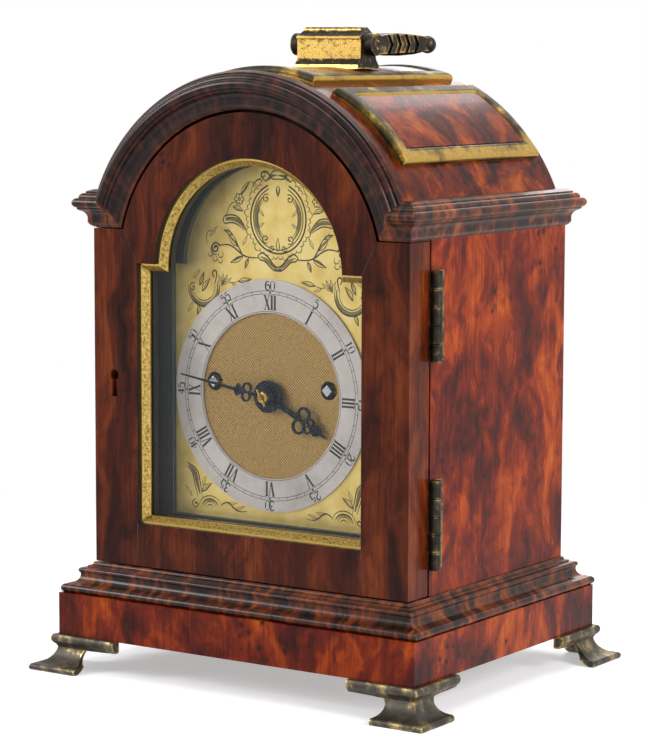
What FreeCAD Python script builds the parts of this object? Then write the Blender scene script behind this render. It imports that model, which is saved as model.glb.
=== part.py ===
"""Bracket clock: a break-arch burr case on brass feet, with an arched dial and a two-train movement.

Frame: origin on the ground under the middle of the body, +Z up, the dial faces -Y, +X is right as one faces it.
Lengths are in millimetres.
"""
import FreeCAD, Part
import math
import os

V = FreeCAD.Vector

# ---- Case -------------------------------------------------------------------------------------
BODY_WIDTH = 200.0
CASE_DEPTH = 157.5
FRONT_Y = -77.0
WALL = 9.0
FOOT_HEIGHT = 19.1
PLINTH_HEIGHT = 22.9
PLINTH_SIDE_MARGIN = 13.8
PLINTH_FRONT_MARGIN = 15.3
PLINTH_BACK_MARGIN = 11.8
PLINTH_WALL = 14.0
BASE_MOULDING_HEIGHT = 16.0
BASE_BOARD_THICKNESS = 10.0
BODY_HEIGHT = 182.0
ARCH_RADIUS = 102.0
ARCH_WALL = 8.0
HEAD_INNER_RADIUS = 84.2
CORNICE_HEIGHT = 20.0

# ---- Feet -------------------------------------------------------------------------------------
FOOT_TOE = 11.7
FOOT_TOP_LIP = 2.4
FOOT_WALL = 2.6
FOOT_WING = 39.0
FOOT_TOE_WING = 31.0
FOOT_NOTCH_RADIUS = 3.0
FOOT_FLANGE = 4.8
FOOT_SLAB = 3.4

# ---- Front door -------------------------------------------------------------------------------
DOOR_THICKNESS = 18.5
DOOR_GAP = 0.7
DOOR_ARCH_FRONT_RADIUS = 82.6
DOOR_ARCH_MIDDLE_RADIUS = 78.1
DOOR_ARCH_BACK_RADIUS = 75.2
DOOR_OPENING_WIDTH = 143.0
DOOR_BOTTOM_RAIL = 23.0
DOOR_SHOULDER_Z = 221.7
DOOR_OPENING_ARCH_RADIUS = 59.6
SIGHT_WIDTH = 4.2
SIGHT_DEPTH = 4.6
SIGHT_RECESS = 2.6
SIGHT_FLAT = 1.2
SIGHT_LIP = 1.0
GLASS_THICKNESS = 2.0
BEAD_WIDTH = 4.0
HINGE_AXIS_OUT = 3.3
HINGE_AXIS_BACK = 1.8
HINGE_BARREL_RADIUS = 2.9
HINGE_PIN_RADIUS = 1.2
HINGE_LEAF = 1.1
HINGE_LENGTH = 46.0
HINGE_HEIGHTS = (72.2, 178.6)
KNUCKLE_GAP = 0.3
LOCK_HEIGHT = 24.0
LOCK_WIDTH = 16.0
LOCK_DEPTH = 6.0
LOCK_CENTRE_Z = 157.0
KEYHOLE_Z = 161.0
KEYHOLE_X = -86.9
KEYHOLE_RADIUS = 2.9
KEYHOLE_LENGTH = 14.5
BOLT_THROW = 4.0
BOLT_HEIGHT = 8.0
BOLT_THICKNESS = 2.4
MORTISE_END = 1.6
MORTISE_BACK = 2.0

# ---- Dial and hands ---------------------------------------------------------------------------
MASK_THICKNESS = 2.6
MASK_GAP = 1.6
DIAL_CENTRE_Z = 153.5
DIAL_WIDTH = 127.0
DIAL_BOTTOM_Z = 85.0
DIAL_ARCH_RADIUS = 56.0
DIAL_THICKNESS = 1.6
DIAL_LIP = 1.0
RING_RADIUS = 61.5
RING_INNER_RADIUS = 44.0
RING_THICKNESS = 1.1
WINDING_X = 36.5
WINDING_Z = 158.9
WINDING_HOLE_RADIUS = 5.0
WINDING_SQUARE = 4.4
HAND_THICKNESS = 1.1
HOUR_HAND_LENGTH = 42.5
MINUTE_HAND_LENGTH = 55.5
HOUR_HAND_ANGLE = 117.5
MINUTE_HAND_ANGLE = 279.0
HAND_BOSS_RADIUS = 8.6
HAND_CLEARANCE = 1.5

# ---- Roof panels and handle -------------------------------------------------------------------
PANEL_PROUD = 3.4
PANEL_FRAME_PROUD = 4.4
PANEL_FRAME_WIDTH = 9.0
PANEL_FRONT_Y = -62.5
PANEL_BACK_Y = 73.0
SIDE_PANEL_LOW = 33.5
SIDE_PANEL_HIGH = 65.0
TOP_PANEL_HALF = 18.2
PEDESTAL_LENGTH = 40.6
PEDESTAL_DEPTH = 15.0
PEDESTAL_HEIGHT = 21.0
HANDLE_Y = 6.5
HANDLE_Z = 337.2
HANDLE_REACH = 54.5
HANDLE_ARM_THICKNESS = 5.4
HANDLE_RING_RADIUS = 6.0
HANDLE_BALL_RADIUS = 4.8
CHEVRONS = 4
CHEVRON_START = 9.0
CHEVRON_PITCH = 8.6
CHEVRON_WIDTH = 3.4
CHEVRON_POINT = 3.6
CHEVRON_DEPTH = 1.3
GRIP_RADIUS = 6.2
GRIP_END_RADIUS = 3.4
PIVOT_RADIUS = 2.2
RUNNING_FIT = 0.05
SIDE_CLEARANCE = 0.4

# ---- Rear door --------------------------------------------------------------------------------
REAR_OPENING_WIDTH = 148.0
REAR_OPENING_LOW = 72.0
REAR_OPENING_HIGH = 232.0
REAR_RAIL = 13.0
REAR_GAP = 0.5
REAR_HINGE_RADIUS = 1.9
REAR_HINGE_LENGTH = 26.0
REAR_HINGE_HEIGHTS = (88.0, 186.0)
BUTTON_LENGTH = 22.0

# ---- Movement ---------------------------------------------------------------------------------
PLATE_WIDTH = 140.0
PLATE_LOW = 83.0
PLATE_HIGH = 224.0
PLATE_THICKNESS = 2.4
DIAL_TO_PLATE = 9.2
PLATE_SPACING = 57.6
PILLAR_RADIUS = 3.4
GREAT_TEETH = 72
WHEEL_TEETH = 72
PINION_LEAVES = 6
PIN_PINION_LEAVES = 8
PIN_WHEEL_TEETH = 60
ESCAPE_TEETH = 36
CANNON_TEETH = 24
LIFTING_PINS = 6
CENTRE_MODULE = 0.6
THIRD_MODULE = 0.5
MOTION_DISTANCE = 19.5
THIRD_X = 3.0
ESCAPE_RADIUS = 14.0
ANCHOR_LIFT = 19.0
ARBOR_RADIUS = 1.3
MINUTE_ARBOR = 0.9
WHEEL_THICKNESS = 1.5
FUSEE_LARGE_RADIUS = 18.5
FUSEE_SMALL_RADIUS = 9.5
FUSEE_GROOVES = 5
GROOVE_DEPTH = 0.9
BARREL_RADIUS = 18.5
BARREL_X = 39.0
BARREL_Z = 105.5
BELL_RADIUS = 30.0
BELL_HEIGHT = 20.0
BELL_WALL = 1.6
BELL_BORE = 2.05
BELL_CURVE = ((0.17, 0.0), (0.45, 0.05), (0.68, 0.2), (0.82, 0.45), (0.9, 0.75), (1.0, 1.0))
BOB_RADIUS = 13.0
PENDULUM_LENGTH = 119.0
GUT_RADIUS = 0.6

# ---- Levels that follow from the sizes above -----------------------------------------------------
HALF = BODY_WIDTH / 2
BACK_Y = FRONT_Y + CASE_DEPTH
PLINTH_TOP = FOOT_HEIGHT + PLINTH_HEIGHT
BODY_BASE = PLINTH_TOP + BASE_MOULDING_HEIGHT
BODY_TOP = BODY_BASE + BODY_HEIGHT
ARCH_Z = BODY_TOP - math.sqrt(ARCH_RADIUS ** 2 - HALF ** 2)
ROOF_INNER = ARCH_RADIUS - ARCH_WALL
DOOR_BACK_Y = FRONT_Y + DOOR_THICKNESS
MASK_FRONT_Y = DOOR_BACK_Y + MASK_GAP
DIAL_FRONT_Y = MASK_FRONT_Y + MASK_THICKNESS
DIAL_BACK_Y = DIAL_FRONT_Y + DIAL_THICKNESS
PLATE_FRONT_Y = DIAL_BACK_Y + DIAL_TO_PLATE
PLATE_INNER_Y = PLATE_FRONT_Y + PLATE_THICKNESS
BACK_PLATE_Y = PLATE_INNER_Y + PLATE_SPACING
DOOR_LOW = BODY_BASE + DOOR_GAP
DOOR_HIGH = BODY_TOP - DOOR_GAP
HINGE_X = HALF + HINGE_AXIS_OUT
HINGE_Y = DOOR_BACK_Y + HINGE_AXIS_BACK
SHAPES = {}


# ---- Basic forms ------------------------------------------------------------------------------
def box(x_low, x_high, y_low, y_high, z_low, z_high):
    """A block between two corners."""
    return Part.makeBox(x_high - x_low, y_high - y_low, z_high - z_low, V(x_low, y_low, z_low))


def rod(radius, start, end):
    """A round bar between two points."""
    axis = V(*end).sub(V(*start))
    return Part.makeCylinder(radius, axis.Length, V(*start), axis)


def fuse(*solids):
    """One solid from touching solids."""
    joined = solids[0].fuse(list(solids[1:]))
    return joined.removeSplitter()


def outline(start, steps, place):
    """A closed wire: a step (u, w) is a straight run, (a, b, u, w) an arc through (a, b) to (u, w)."""
    edges = []
    here = place(*start)
    for step in tuple(steps) + (start,):
        there = place(*step[-2:])
        if len(step) == 4:
            edges.append(Part.Arc(here, place(*step[:2]), there).toShape())
        elif there.sub(here).Length > 1e-6:
            edges.append(Part.LineSegment(here, there).toShape())
        here = there
    return Part.Wire(edges)


def revolve(start, steps, centre, axis=(0, 1, 0), degrees=360):
    """Turn an outline of (radius, distance along the axis) about an axis through a centre."""
    along = V(*axis)
    across = V(1, 0, 0) if abs(along.x) < 0.5 else V(0, 0, 1)

    def place(radius, distance):
        return V(*centre) + across * radius + along * distance

    face = Part.Face(outline(start, steps, place))
    return face.revolve(V(*centre), along, degrees)


def polar(centre_x, centre_z, radius, degrees, y=0.0):
    """A point at an angle in a plane that faces the front: 0 is +X, 90 is up."""
    turn = math.radians(degrees)
    return V(centre_x + radius * math.cos(turn), y, centre_z + radius * math.sin(turn))


def arch_prism(half_width, low, shoulder, radius, centre_z, y_low, y_high):
    """A board with a break-arch outline: square sides up to the shoulders, then a round arch."""
    start_x = math.sqrt(radius ** 2 - (shoulder - centre_z) ** 2)
    corner = min(half_width, start_x)

    def place(x, z):
        return V(x, y_low, z)

    steps = [(half_width, low), (half_width, shoulder)]
    if half_width > corner + 1e-6:
        steps.append((corner, shoulder))
    steps.append((0.0, centre_z + radius, -corner, shoulder))
    if half_width > corner + 1e-6:
        steps.append((-half_width, shoulder))
    wire = outline((-half_width, low), steps, place)
    return Part.Face(wire).extrude(V(0, y_high - y_low, 0))


# ---- Mouldings --------------------------------------------------------------------------------
def cornice_profile(place):
    """Cornice section as (overhang, height): fillet, cavetto, bead and a sloped top."""
    steps = (
        (0.0, 0.0),
        (1.4, 1.0),
        (2.4, 2.4),
        (2.4, 5.2),
        (3.4, 7.4, 5.6, 8.8),
        (6.5, 9.4),
        (6.5, 10.2),
        (8.5, 12.7, 6.9, 15.2),
        (5.8, 15.4),
        (5.0, 17.4, 3.0, 18.0),
        (3.0, 18.9),
        (0.0, CORNICE_HEIGHT),
        (-ARCH_WALL, CORNICE_HEIGHT),
    )
    return outline((-ARCH_WALL, 0.0), steps, place)


def arch_profile(place):
    """The cornice section without the part that lies inside the wall."""
    steps = (
        (1.4, 1.0),
        (2.4, 2.4),
        (2.4, 5.2),
        (3.4, 7.4, 5.6, 8.8),
        (6.5, 9.4),
        (6.5, 10.2),
        (8.5, 12.7, 6.9, 15.2),
        (5.8, 15.4),
        (5.0, 17.4, 3.0, 18.0),
        (3.0, 18.9),
        (0.0, CORNICE_HEIGHT),
    )
    return outline((0.0, 0.0), steps, place)


def base_profile(place):
    """Base moulding section as (overhang, height): bottom bead, long cavetto, small bead, top fillet."""
    steps = (
        (12.3, 0.0),
        (13.8, 2.2, 12.3, 4.4),
        (11.0, 4.7),
        (10.2, 5.0),
        (7.0, 6.6, 6.2, 10.4),
        (6.9, 12.0, 5.0, 13.0),
        (3.4, 13.2),
        (3.2, 14.2),
        (1.8, 14.4, 1.0, BASE_MOULDING_HEIGHT),
        (-WALL, BASE_MOULDING_HEIGHT),
    )
    return outline((-WALL, 0.0), steps, place)


def sweep(profile, points):
    """Carry a section along straight runs with mitred corners."""
    shell = Part.BRepOffsetAPI.MakePipeShell(Part.makePolygon(points))
    shell.setTransitionMode(1)
    shell.add(profile)
    shell.build()
    shell.makeSolid()
    return shell.shape()


def mitre_side(x_sign, reach=60.0):
    """The space outside the joint between the arch moulding and the front return of the cornice."""
    low_x = math.sqrt(HEAD_INNER_RADIUS ** 2 - (BODY_TOP - ARCH_Z) ** 2)
    outer = HEAD_INNER_RADIUS + CORNICE_HEIGHT
    rise = BODY_TOP + CORNICE_HEIGHT - ARCH_Z
    high_x = math.sqrt(outer ** 2 - rise ** 2)
    slope = (high_x - low_x) / CORNICE_HEIGHT

    def place(x, z):
        return V(x_sign * x, FRONT_Y - reach, z)

    corners = (
        (low_x - slope * reach, BODY_TOP - reach),
        (low_x + slope * reach, BODY_TOP + reach),
        (HALF + 2 * reach, BODY_TOP + reach),
        (HALF + 2 * reach, BODY_TOP - reach),
    )
    return Part.Face(outline(corners[0], corners[1:], place)).extrude(V(0, reach, 0))


def case_envelope():
    """The solid outer form of the body and roof."""
    return arch_prism(HALF, BODY_BASE, BODY_TOP, ARCH_RADIUS, ARCH_Z, FRONT_Y, BACK_Y)


def build_mouldings():
    """Base moulding, cornice and arch moulding."""
    middle = V(0, FRONT_Y, 0)
    base_path = [
        middle,
        V(HALF, FRONT_Y, 0),
        V(HALF, BACK_Y, 0),
        V(-HALF, BACK_Y, 0),
        V(-HALF, FRONT_Y, 0),
        middle,
    ]
    base_path = [point + V(0, 0, PLINTH_TOP) for point in base_path]
    base_wire = base_profile(lambda out, up: V(0, FRONT_Y - out, PLINTH_TOP + up))
    SHAPES["base_moulding"] = sweep(base_wire, base_path)

    start_x = HEAD_INNER_RADIUS - CORNICE_HEIGHT
    path = [
        V(-start_x, FRONT_Y, BODY_TOP),
        V(-HALF, FRONT_Y, BODY_TOP),
        V(-HALF, BACK_Y, BODY_TOP),
        V(HALF, BACK_Y, BODY_TOP),
        V(HALF, FRONT_Y, BODY_TOP),
        V(start_x, FRONT_Y, BODY_TOP),
    ]
    wire = cornice_profile(lambda out, up: V(-start_x, FRONT_Y - out, BODY_TOP + up))
    cornice = sweep(wire, path).cut(case_envelope())
    front_space = box(-2 * HALF, 2 * HALF, FRONT_Y - HALF, FRONT_Y, BODY_TOP, BODY_TOP + HALF)
    between = front_space.cut(mitre_side(1)).cut(mitre_side(-1))
    cornice = cornice.cut(between)
    SHAPES["cornice"] = max(cornice.Solids, key=lambda solid: solid.Volume)

    face = Part.Face(arch_profile(lambda out, up: V(HEAD_INNER_RADIUS + up, FRONT_Y - out, ARCH_Z)))
    ring = face.revolve(V(0, 0, ARCH_Z), V(0, -1, 0), 180)
    SHAPES["arch_moulding"] = ring.cut(mitre_side(1)).cut(mitre_side(-1))


# ---- Case carcass -----------------------------------------------------------------------------
def build_plinth():
    """Plinth frame and the board inside the base moulding."""
    x_out = HALF + PLINTH_SIDE_MARGIN
    y_low = FRONT_Y - PLINTH_FRONT_MARGIN
    y_high = BACK_Y + PLINTH_BACK_MARGIN
    outer = box(-x_out, x_out, y_low, y_high, FOOT_HEIGHT, PLINTH_TOP)
    wall = PLINTH_WALL
    inner = box(-x_out + wall, x_out - wall, y_low + wall, y_high - wall, FOOT_HEIGHT - 1, PLINTH_TOP + 1)
    SHAPES["plinth"] = outer.cut(inner)
    board_top = BODY_BASE
    SHAPES["base_board"] = box(
        -HALF + WALL, HALF - WALL, FRONT_Y + WALL, BACK_Y - WALL, board_top - BASE_BOARD_THICKNESS, board_top
    )


def bolt_mortise():
    """The slot in the left side that receives the lock bolt."""
    bolt = lock_bolt_box()
    deep = BOLT_THROW + MORTISE_END
    y_low = bolt.YMin - SIDE_CLEARANCE
    y_high = bolt.YMax + MORTISE_BACK
    return box(
        bolt.XMin - deep, bolt.XMax, y_low, y_high, bolt.ZMin - SIDE_CLEARANCE, bolt.ZMax + SIDE_CLEARANCE
    )


def mortised_side(slot):
    """The left side: its board, and its front edging in lengths below, above, behind and before the mortise."""
    inside = -HALF + WALL
    board = box(-HALF, inside, slot.YMax, BACK_Y, BODY_BASE, BODY_TOP)
    low = box(-HALF, inside, MASK_FRONT_Y, slot.YMax, BODY_BASE, slot.ZMin)
    high = box(-HALF, inside, MASK_FRONT_Y, slot.YMax, slot.ZMax, BODY_TOP)
    web = box(-HALF, slot.XMin, MASK_FRONT_Y, slot.YMax, slot.ZMin, slot.ZMax)
    keep = box(slot.XMin, inside, MASK_FRONT_Y, slot.YMin, slot.ZMin, slot.ZMax)
    return Part.makeCompound([board, low, high, web, keep])


def build_carcass():
    """Sides, arched roof, arch head over the door, dial mask and back frame."""
    side_front = MASK_FRONT_Y
    right = box(HALF - WALL, HALF, side_front, BACK_Y, BODY_BASE, BODY_TOP)
    SHAPES["right_side"] = right
    SHAPES["left_side"] = mortised_side(bolt_mortise().BoundBox)

    above = box(-2 * HALF, 2 * HALF, FRONT_Y, BACK_Y, BODY_TOP, BODY_TOP + 2 * HALF)
    outer = rod(ARCH_RADIUS, (0, FRONT_Y, ARCH_Z), (0, BACK_Y, ARCH_Z))
    inner = rod(ROOF_INNER, (0, FRONT_Y - 1, ARCH_Z), (0, BACK_Y + 1, ARCH_Z))
    SHAPES["roof"] = outer.cut(inner).common(above)
    head = rod(ROOF_INNER, (0, FRONT_Y, ARCH_Z), (0, MASK_FRONT_Y, ARCH_Z))
    head_bore = rod(HEAD_INNER_RADIUS, (0, FRONT_Y - 1, ARCH_Z), (0, MASK_FRONT_Y + 1, ARCH_Z))
    SHAPES["arch_head"] = head.cut(head_bore).common(above)

    inside = HALF - WALL
    mask = arch_prism(inside, BODY_BASE, BODY_TOP, ROOF_INNER, ARCH_Z, MASK_FRONT_Y, DIAL_FRONT_Y)
    window = dial_board(-DIAL_LIP, MASK_FRONT_Y - 1, DIAL_FRONT_Y + 1)
    lock = SHAPES["door_lock"].BoundBox
    notch = box(-inside - 1, lock.XMax + 2, MASK_FRONT_Y - 1, DIAL_FRONT_Y + 1, lock.ZMin - 2, lock.ZMax + 2)
    SHAPES["dial_mask"] = mask.cut(window).cut(notch)

    back = arch_prism(inside, BODY_BASE, BODY_TOP, ROOF_INNER, ARCH_Z, BACK_Y - WALL, BACK_Y)
    SHAPES["back_frame"] = back.cut(rear_outline(0.0, BACK_Y - WALL - 1, BACK_Y + 1))


def dial_board(grow, y_low, y_high):
    """The dial's break-arch outline, larger on every side by a margin."""
    half = DIAL_WIDTH / 2 + grow
    low = DIAL_BOTTOM_Z - grow
    return arch_prism(half, low, DOOR_SHOULDER_Z + grow, DIAL_ARCH_RADIUS + grow, ARCH_Z, y_low, y_high)


def rear_outline(shrink, y_low, y_high):
    """The rear door opening, smaller on every side by a margin."""
    half = REAR_OPENING_WIDTH / 2 - shrink
    return box(-half, half, y_low, y_high, REAR_OPENING_LOW + shrink, REAR_OPENING_HIGH - shrink)


# ---- Feet -------------------------------------------------------------------------------------

def foot_section(place):
    """Bracket foot section as (outwards, height): top lip, fillet, hollow ogee, toe bead."""
    steps = (
        (FOOT_TOP_LIP, FOOT_HEIGHT),
        (FOOT_TOP_LIP + 0.9, FOOT_HEIGHT - FOOT_FLANGE / 2, FOOT_TOP_LIP - 0.4, FOOT_HEIGHT - FOOT_FLANGE),
        (1.2, FOOT_HEIGHT - FOOT_FLANGE - 0.8),
        (0.5, FOOT_HEIGHT - FOOT_FLANGE - 2.2),
        (2.4, FOOT_SLAB + 4.4, FOOT_TOE - 1.2, FOOT_SLAB),
        (FOOT_TOE + 0.2, FOOT_SLAB / 2, FOOT_TOE - 0.6, 0.0),
        (FOOT_TOE - 0.6 - FOOT_WALL, 0.0),
        (1.0, 5.6, -FOOT_WALL, FOOT_HEIGHT - 5.2),
    )
    return outline((-FOOT_WALL, FOOT_HEIGHT), steps, place)


def foot_wing(corner_x, corner_y):
    """One wing of a foot along the front, cut by the mitre, the scroll and the slanted end."""
    inner_x = corner_x - FOOT_WING
    wire = foot_section(lambda out, up: V(inner_x, corner_y - out, up))
    wing = Part.Face(wire).extrude(V(FOOT_WING + 2 * FOOT_TOE, 0, 0))
    reach = 3 * FOOT_WING

    def flat(x, y):
        return V(x, y, -1.0)

    beyond = ((corner_x - reach, corner_y + reach), (corner_x + reach, corner_y + reach))
    mitre = Part.Face(outline((corner_x + reach, corner_y - reach), beyond, flat))
    wing = wing.cut(mitre.extrude(V(0, 0, FOOT_HEIGHT + 2)))
    toe_x = corner_x + FOOT_TOE - FOOT_TOE_WING
    notch_top = FOOT_HEIGHT - FOOT_FLANGE - 2.4
    notch_z = (FOOT_SLAB + notch_top) / 2

    def front(x, z):
        return V(x, corner_y - 3 * FOOT_TOE, z)

    steps = (
        (toe_x, -1.0),
        (toe_x, FOOT_SLAB),
        (toe_x + FOOT_NOTCH_RADIUS, notch_z, toe_x + 1.0, notch_top),
        (inner_x - 1, notch_top + 0.8),
    )
    cut_wire = outline((inner_x - 1, -1.0), steps, front)
    return wing.cut(Part.Face(cut_wire).extrude(V(0, 6 * FOOT_TOE, 0)))


def build_feet():
    """Four hollow ogee bracket feet, each of two mitred wings."""
    corner_x = HALF + PLINTH_SIDE_MARGIN
    front_y = FRONT_Y - PLINTH_FRONT_MARGIN
    back_y = BACK_Y + PLINTH_BACK_MARGIN
    wing = foot_wing(corner_x, front_y)
    diagonal = V(1, 1, 0)
    other = wing.mirror(V(corner_x, front_y, 0), diagonal)
    front_right = fuse(wing, other)
    middle = V(0, (front_y + back_y) / 2, 0)
    SHAPES["foot_front_right"] = front_right
    SHAPES["foot_front_left"] = front_right.mirror(V(0, 0, 0), V(1, 0, 0))
    SHAPES["foot_back_right"] = front_right.mirror(middle, V(0, 1, 0))
    SHAPES["foot_back_left"] = SHAPES["foot_front_left"].mirror(middle, V(0, 1, 0))


# ---- Hinges -----------------------------------------------------------------------------------
def knuckles(centre_x, centre_y, low, length, radius, pin_radius, count, fixed):
    """Alternate knuckles of a butt hinge: the first and last belong to the fixed leaf."""
    pitch = length / count
    rings = []
    for index in range(count):
        if (index % 2 == 0) != fixed:
            continue
        start = low + index * pitch + (KNUCKLE_GAP / 2 if index else 0)
        end = low + (index + 1) * pitch - (KNUCKLE_GAP / 2 if index < count - 1 else 0)
        rings.append((start, end))
    bore = pin_radius if fixed else pin_radius + RUNNING_FIT
    hole = rod(bore, (centre_x, centre_y, low - 1), (centre_x, centre_y, low + length + 1))
    return [rod(radius, (centre_x, centre_y, a), (centre_x, centre_y, b)).cut(hole) for a, b in rings]


def build_door_hinges():
    """Two butt hinges on the right of the front door: case leaves, door leaves and pins."""
    case_parts = []
    door_parts = []
    pins = []
    for low in HINGE_HEIGHTS:
        high = low + HINGE_LENGTH
        clear = rod(HINGE_BARREL_RADIUS + SIDE_CLEARANCE, (HINGE_X, HINGE_Y, low - 1), (HINGE_X, HINGE_Y, high + 1))
        fixed = knuckles(HINGE_X, HINGE_Y, low, HINGE_LENGTH, HINGE_BARREL_RADIUS, HINGE_PIN_RADIUS, 5, True)
        moving = knuckles(HINGE_X, HINGE_Y, low, HINGE_LENGTH, HINGE_BARREL_RADIUS, HINGE_PIN_RADIUS, 5, False)
        bore = rod(HINGE_PIN_RADIUS + RUNNING_FIT, (HINGE_X, HINGE_Y, low - 1), (HINGE_X, HINGE_Y, high + 1))
        case_plate = box(HALF, HALF + HINGE_LEAF, HINGE_Y, HINGE_Y + 10.5, low, high).cut(clear)
        case_leaf = [case_plate]
        for ring in fixed:
            span = ring.BoundBox
            tongue = box(HALF, HALF + HINGE_LEAF, HINGE_Y, HINGE_Y + 10.5, span.ZMin, span.ZMax)
            case_leaf.append(fuse(ring, tongue.cut(bore)))
        case_parts.append(fuse(*case_leaf))
        leaf_front = DOOR_BACK_Y
        leaf_back = DOOR_BACK_Y + HINGE_LEAF
        door_plate = box(HALF - 9.0, HINGE_X, leaf_front, leaf_back, low, high).cut(clear)
        door_leaf = [door_plate]
        for ring in moving:
            span = ring.BoundBox
            tongue = box(HALF - 9.0, HINGE_X, leaf_front, leaf_back, span.ZMin, span.ZMax)
            door_leaf.append(fuse(ring, tongue.cut(bore)))
        door_parts.append(fuse(*door_leaf))
        pins.append(rod(HINGE_PIN_RADIUS, (HINGE_X, HINGE_Y, low), (HINGE_X, HINGE_Y, high)))
    SHAPES["door_hinge_case_leaves"] = Part.makeCompound(case_parts + pins)
    SHAPES["door_hinge_door_leaves"] = Part.makeCompound(door_parts)


def build_rear_hinges():
    """Two small surface hinges on the rear door, with their pins."""
    centre_x = REAR_OPENING_WIDTH / 2 - REAR_GAP / 2
    centre_y = BACK_Y + REAR_HINGE_RADIUS
    pin = REAR_HINGE_RADIUS * 0.45
    case_parts = []
    door_parts = []
    for low in REAR_HINGE_HEIGHTS:
        high = low + REAR_HINGE_LENGTH
        clear = rod(REAR_HINGE_RADIUS + SIDE_CLEARANCE, (centre_x, centre_y, low - 1), (centre_x, centre_y, high + 1))
        bore = rod(pin + RUNNING_FIT, (centre_x, centre_y, low - 1), (centre_x, centre_y, high + 1))
        for fixed, parts, x_low, x_high in (
            (True, case_parts, centre_x, centre_x + 9.0),
            (False, door_parts, centre_x - 9.0, centre_x),
        ):
            rings = knuckles(centre_x, centre_y, low, REAR_HINGE_LENGTH, REAR_HINGE_RADIUS, pin, 3, fixed)
            leaf = [box(x_low, x_high, BACK_Y, BACK_Y + 0.9, low, high).cut(clear)]
            for ring in rings:
                span = ring.BoundBox
                tongue = box(x_low, x_high, BACK_Y, BACK_Y + 0.9, span.ZMin, span.ZMax)
                side = box(x_low, x_high, centre_y - 3, centre_y + 3, span.ZMin, span.ZMax)
                leaf.append(fuse(ring, tongue.common(side).cut(bore)))
            parts.append(fuse(*leaf))
        case_parts.append(rod(pin, (centre_x, centre_y, low), (centre_x, centre_y, high)))
    SHAPES["rear_hinge_fixed_leaves"] = Part.makeCompound(case_parts)
    SHAPES["rear_hinge_door_leaves"] = Part.makeCompound(door_parts)


# ---- Front door -------------------------------------------------------------------------------
def lock_bolt_box():
    """The bounds of the lock bolt at rest, drawn back inside the lock."""
    face_x = -HALF + WALL + SIDE_CLEARANCE
    y_mid = (MASK_FRONT_Y + DOOR_BACK_Y + LOCK_DEPTH) / 2
    bolt = box(
        face_x + 0.2,
        face_x + LOCK_WIDTH - 3.0,
        y_mid - BOLT_THICKNESS / 2,
        y_mid + BOLT_THICKNESS / 2,
        LOCK_CENTRE_Z - BOLT_HEIGHT / 2,
        LOCK_CENTRE_Z + BOLT_HEIGHT / 2,
    )
    return bolt.BoundBox


def build_door():
    """Front door frame, brass sight frame, glass, glazing beads, lock and bolt."""
    lower = box(-HALF, HALF, FRONT_Y, DOOR_BACK_Y, DOOR_LOW, DOOR_HIGH)
    edge_steps = (
        (DOOR_ARCH_FRONT_RADIUS, 0.0),
        (DOOR_ARCH_MIDDLE_RADIUS, DOOR_THICKNESS * 0.4, DOOR_ARCH_BACK_RADIUS, DOOR_THICKNESS),
        (0.0, DOOR_THICKNESS),
    )
    head = revolve((0.0, 0.0), edge_steps, (0, FRONT_Y, ARCH_Z))
    frame = fuse(lower, head)
    opening_low = DOOR_LOW + DOOR_BOTTOM_RAIL
    half_open = DOOR_OPENING_WIDTH / 2
    arch_z = DOOR_SHOULDER_Z - 2.4

    def opening(shrink, y_low, y_high):
        radius = DOOR_OPENING_ARCH_RADIUS - shrink
        low = opening_low + shrink
        return arch_prism(half_open - shrink, low, DOOR_SHOULDER_Z - shrink, radius, arch_z, y_low, y_high)

    frame = frame.cut(opening(0.0, FRONT_Y - 1, DOOR_BACK_Y + 1))
    sight_y = FRONT_Y + SIGHT_RECESS
    glass_y = sight_y + SIGHT_DEPTH
    glass_back = glass_y + GLASS_THICKNESS
    bevel_depth = SIGHT_DEPTH - SIGHT_LIP
    wide = opening(SIGHT_FLAT, sight_y, glass_y).Faces
    narrow = opening(SIGHT_WIDTH, sight_y + bevel_depth, glass_y).Faces
    front_wires = [facing_front(wide, sight_y), facing_front(narrow, sight_y + bevel_depth)]
    bevel = Part.makeLoft(front_wires, True, True)
    sight = opening(0.0, sight_y, glass_y).cut(opening(SIGHT_WIDTH, sight_y - 1, glass_y + 1))
    SHAPES["sight_frame"] = sight.cut(bevel)
    SHAPES["door_glass"] = opening(0.0, glass_y, glass_back)
    beads = opening(0.0, glass_back, glass_back + BEAD_WIDTH)
    SHAPES["glazing_beads"] = beads.cut(opening(BEAD_WIDTH, glass_back - 1, glass_back + BEAD_WIDTH + 1))

    keyhole = rod(KEYHOLE_RADIUS, (KEYHOLE_X, FRONT_Y - 1, KEYHOLE_Z), (KEYHOLE_X, DOOR_BACK_Y + 1, KEYHOLE_Z))
    foot_z = KEYHOLE_Z + KEYHOLE_RADIUS - KEYHOLE_LENGTH

    def front(x, z):
        return V(KEYHOLE_X + x, FRONT_Y - 1, z)

    slot_wire = outline((-1.9, foot_z), ((1.9, foot_z), (1.2, KEYHOLE_Z), (-1.2, KEYHOLE_Z)), front)
    slot = Part.Face(slot_wire).extrude(V(0, DOOR_THICKNESS + 2, 0))
    SHAPES["door_frame"] = frame.cut(keyhole).cut(slot)

    bolt = lock_bolt_box()
    grown = RUNNING_FIT
    case = box(
        bolt.XMin - 0.2,
        bolt.XMin - 0.2 + LOCK_WIDTH,
        DOOR_BACK_Y,
        DOOR_BACK_Y + LOCK_DEPTH,
        LOCK_CENTRE_Z - LOCK_HEIGHT / 2,
        LOCK_CENTRE_Z + LOCK_HEIGHT / 2,
    )
    channel = box(
        bolt.XMin - 1, bolt.XMax + 0.5, bolt.YMin - grown, bolt.YMax + grown, bolt.ZMin - grown, bolt.ZMax + grown
    )
    SHAPES["door_lock"] = case.cut(channel)
    SHAPES["lock_bolt"] = box(bolt.XMin, bolt.XMax, bolt.YMin, bolt.YMax, bolt.ZMin, bolt.ZMax)


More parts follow.
